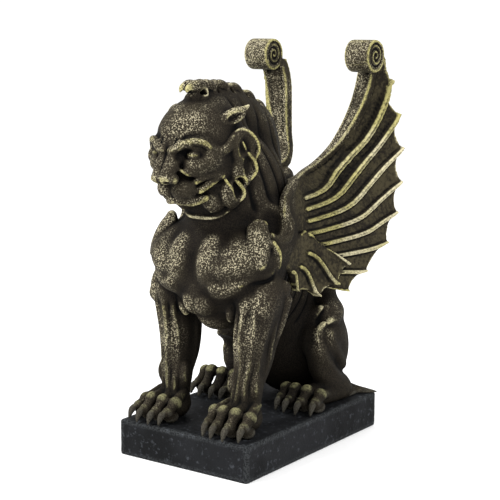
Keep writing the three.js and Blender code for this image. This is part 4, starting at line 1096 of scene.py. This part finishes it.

# %% [markdown]
# Dry paint dragged over rough stone catches only the tops of the grains, so it leaves cream specks
# that never quite join. Specks and dust gather on swellings and open places and, as painted light, on
# the side turned to the painted light. A broad mask says how much paint there is, and a fine noise
# cut off sharply says where it sticks. A dust layer between the two keeps the steps soft.

# %% Dust, speckle, painted light and shade
# painted light: more dust and cream specks on the side turned to the painted light
lit_side_paint = (0.3 + 0.7 * facing_painted_light.between(-0.05, 0.8)) * open_air.between(-0.3, 0.5)
lit_side_paint = lit_side_paint * (0.8 + 0.6 * swell.between(0.35, 0.9))
# painted shade: the space under the belly and between the legs is painted nearly black and gets fewer
# specks
under_belly = (across * across).between(0.0022, 0.0014)
shaded = under_belly * depth.between(-0.045, -0.02) * level.between(0.125, 0.09)
body = cast.mix(shaded * 0.85, body, colour("040303"))
lit_side_paint = lit_side_paint * (1 - 0.8 * shaded)
body = cast.mix(dust.between(0.44, 0.6) * (0.25 + 0.75 * lit_side_paint) * 0.7, body, colour("433c30"))
cover = lit_side_paint * (0.3 + 0.7 * blotch.between(0.36, 0.6)) * (1 - sheet_share)
cover = cover * (0.25 + 0.75 * level.between(0.045, 0.1))
speckle = (sand + 0.05 * cover).between(0.565, 0.61) * cover.between(0.02, 0.55)
body = cast.mix(speckle * 0.9, body, colour("a0987f"))
print("speckle laid")

# %% [markdown]
# Between the ribs the wings are plain olive brown, a little streaked, and painted darker close to each
# rib as the shade in the valley beside it. They get a coat of their own, mixed in by the distance to
# the nearest rib.

# %% Wing sheets
streak = (grain * 0.6 + blotch * 0.4).between(0.42, 0.6)
membrane = cast.mix(streak, colour("1a1712"), colour("3a3526"))
# painted shade: the sheet is painted nearly black close to each rib
membrane = cast.mix(web.between(3.6, 1.6) * 0.7, membrane, colour("0b0907"))
body = cast.mix(sheet_share * 0.85, body, membrane)
print("wing coat laid")

# %% [markdown]
# The last strokes of the brush leave the brightest paint on ridges, rims and knuckles: cream and
# ochre above, duller green low down, grey on the claws. The height mask with some grain in it breaks
# each stroke up. Two lines are drawn along every rib, and pits are painted black at the end as
# painted shade.

# %% Raised edges
paint = cast.mix(cloud.between(0.42, 0.58), colour("bab291"), colour("a39c66"))
paint = cast.mix(level.between(0.11, 0.06), paint, colour("918d66"))
paint = cast.mix(level.between(0.048, 0.042), paint, colour("68664a"))
paint = cast.mix(level.between(0.0385, 0.0345), paint, colour("3a3832"))
height = raised + 0.1 * swell * (1 - sheet_share) + 0.35 * (grain - 0.5) + 0.2 * (blotch - 0.5)
height = height + 0.2 * swell * level.between(0.052, 0.046)
brushed = height.between(0.24, 0.52) * (0.35 + 0.65 * sand.between(0.42, 0.54))
body = cast.mix(brushed * 0.85, body, paint)
span = rib * rib
line = span.between(0.12, 0.5) * span.between(2.0, 1.2) * web.between(2.6, 1.8)
line = line * (0.5 + 0.5 * grain.between(0.4, 0.55)) * (0.35 + 0.65 * depth.between(0.0, 0.07))
body = cast.mix(line * 0.95, body, paint)
# painted shade: the deepest creases and pits are painted black
pit = (raised + 0.15 * (sand - 0.5)).between(-0.06, -0.3)
body = cast.mix(pit, body, colour("020202"))
print("edges brushed")

# %% [markdown]
# A fine bump gives the stone its grit, which is too small for the mesh. Roughness is high and the
# gloss very low, because matt paint on cast stone has hardly any shine. The piece then takes the
# place of the plain solid of the same name.

# %% Lion material
bump = cast.node("Bump", {}, {"Strength": 0.5, "Distance": 0.0006, "Height": sand * 0.6 + dust * 0.4})
lion.data.materials.clear()
finished = cast.finish(Base_Color=body, Roughness=0.75, Specular_IOR_Level=0.06, Normal=bump)
lion.data.materials.append(finished)
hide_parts("winged_lion")
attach(lion, "root")
print("lion material nodes:", len(cast.tree.nodes))

# %% [markdown]
# The plinth is a plain block with softened edges and slightly uneven faces. A bevelled cube would be
# too perfect, so the cube is cut into small squares, each point is pulled onto a rounded block, and a
# little noise moves it inwards. The underside stays flat, because the figure stands on it.

# %% Plinth shape
import bmesh
from mathutils import Matrix, Vector, noise

PLINTH = np.array([111.5, 166.6, 26.0])


def plinth_mesh(step=2.2, edge=1.6):
    bm = bmesh.new()
    bmesh.ops.create_cube(bm, size=1)
    for axis, length in enumerate(PLINTH):
        normal = Vector([float(i == axis) for i in range(3)])
        for cut in np.arange(step, length - step / 2, step):
            geometry = bm.verts[:] + bm.edges[:] + bm.faces[:]
            plane = normal * (cut / length - 0.5)
            bmesh.ops.bisect_plane(bm, geom=geometry, plane_co=plane, plane_no=normal)
    half = Vector(PLINTH / 2)
    for vertex in bm.verts:
        place = Vector([2 * c * h for c, h in zip(vertex.co, half)])
        core = Vector([max(-h + edge, min(h - edge, c)) for c, h in zip(place, half)])
        away = place - core
        if away.length > edge:
            place = core + away.normalized() * edge
        lump = noise.fractal(place * 0.05, 1, 2, 3) * 0.35 + noise.noise(place * 0.4) * 0.12
        if place.z > -half.z + edge:
            place -= away.normalized() * abs(lump) if away.length > 0 else Vector((0, 0, 0))
        vertex.co = (place + Vector((0, 0, half.z))) / 1000
    mesh = bpy.data.meshes.new("plinth_cast")
    bm.to_mesh(mesh)
    bm.free()
    return mesh


plinth = bpy.data.objects.new("plinth_cast", plinth_mesh())
bpy.context.scene.collection.objects.link(plinth)
plinth.data.shade_smooth()
print("plinth faces:", len(plinth.data.polygons))

# %% [markdown]
# The block is charcoal stone with tiny pale pits and faint wear along its edges. Patches of two dark
# greys keep it from looking flat, and a noise of a few millimetres, cut off at its top, gives the
# pits.

# %% Plinth finish
stone = Shader("charcoal cast stone")
patch, pits, dust = stone.noise(28, 4, 0.6), stone.noise(260, 4, 0.7), stone.noise(900, 2, 0.6)
worn = stone.node("NewGeometry", {}, {}, "Pointiness").between(0.505, 0.53)
face = stone.mix(patch.between(0.35, 0.65), colour("0c0d0e"), colour("17181a"))
face = stone.mix(pits.between(0.56, 0.7) * 0.7, face, colour("3c3f43"))
face = stone.mix(worn * dust.between(0.4, 0.6) * 0.3, face, colour("4c4f50"))
rough = stone.node("Bump", {}, {"Strength": 0.5, "Distance": 0.0008, "Height": pits * 0.7 + dust * 0.3})
charcoal = stone.finish(Base_Color=face, Roughness=0.7, Specular_IOR_Level=0.08, Normal=rough)
plinth.data.materials.append(charcoal)
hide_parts("plinth")
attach(plinth, "root")
print("plinth material nodes:", len(stone.tree.nodes))

# %% [markdown]
# The figure is shown as in a product picture, on a white floor under soft light. A bright world gives
# the even light and the white background. Two area lights add shape, one from the front left and a
# weaker one from behind on the right.

# %% Floor and light
bpy.ops.mesh.primitive_plane_add(size=12)
floor = bpy.context.object
floor.name = "floor"
pale = Shader("pale floor")
floor.data.materials.append(pale.finish(Base_Color=(0.96, 0.96, 0.96, 1), Roughness=0.9))
bpy.context.scene.view_settings.view_transform = "Standard"

world = bpy.data.worlds.new("studio")
bpy.context.scene.world = world
world.use_nodes = True
world.node_tree.nodes["Background"].inputs["Color"].default_value = (1, 1, 1, 1)
world.node_tree.nodes["Background"].inputs["Strength"].default_value = 1.1


def area_light(name, place, target, size, power):
    light = bpy.data.objects.new(name, bpy.data.lights.new(name, "AREA"))
    light.data.size, light.data.energy = size, power
    light.location = place
    light.rotation_euler = (Vector(target) - Vector(place)).to_track_quat("-Z", "Y").to_euler()
    bpy.context.scene.collection.objects.link(light)


area_light("key", (-0.7, -1.2, 1.4), (0, 0, 0.15), 0.4, 34)
area_light("rim", (1.4, -0.1, 1.2), (0, 0, 0.15), 0.4, 18)
print("lights placed:", len(bpy.data.lights))

# %% [markdown]
# The camera stands a metre away, nearly 36 degrees round to the lion's left and a little above it.
# Its numbers come from fitting the corners of the plinth. The three directions of its frame are
# worked out first, and give its place and its turn together.

# %% Camera
AZIMUTH, ELEVATION = math.radians(35.89), math.radians(9.82)
DISTANCE, AIM_HEIGHT, SHIFT_LEFT = 1.00054, 0.13923, 0.00153
FOCAL_PIXELS, PICTURE_PIXELS = 1356.66, 500
level_part = math.cos(ELEVATION)
back = Vector((
    math.sin(AZIMUTH) * level_part, -math.cos(AZIMUTH) * level_part, math.sin(ELEVATION),
))
right = Vector((math.cos(AZIMUTH), math.sin(AZIMUTH), 0))
up = back.cross(right)
camera = bpy.data.objects.new("camera", bpy.data.cameras.new("camera"))
camera.data.lens = camera.data.sensor_width * FOCAL_PIXELS / PICTURE_PIXELS
stand = back * DISTANCE - right * SHIFT_LEFT + up * AIM_HEIGHT
camera.matrix_world = Matrix.LocRotScale(stand, Matrix((right, up, back)).transposed(), None)
bpy.context.scene.collection.objects.link(camera)
bpy.context.scene.camera = camera
print("camera at", [round(c, 3) for c in camera.location])
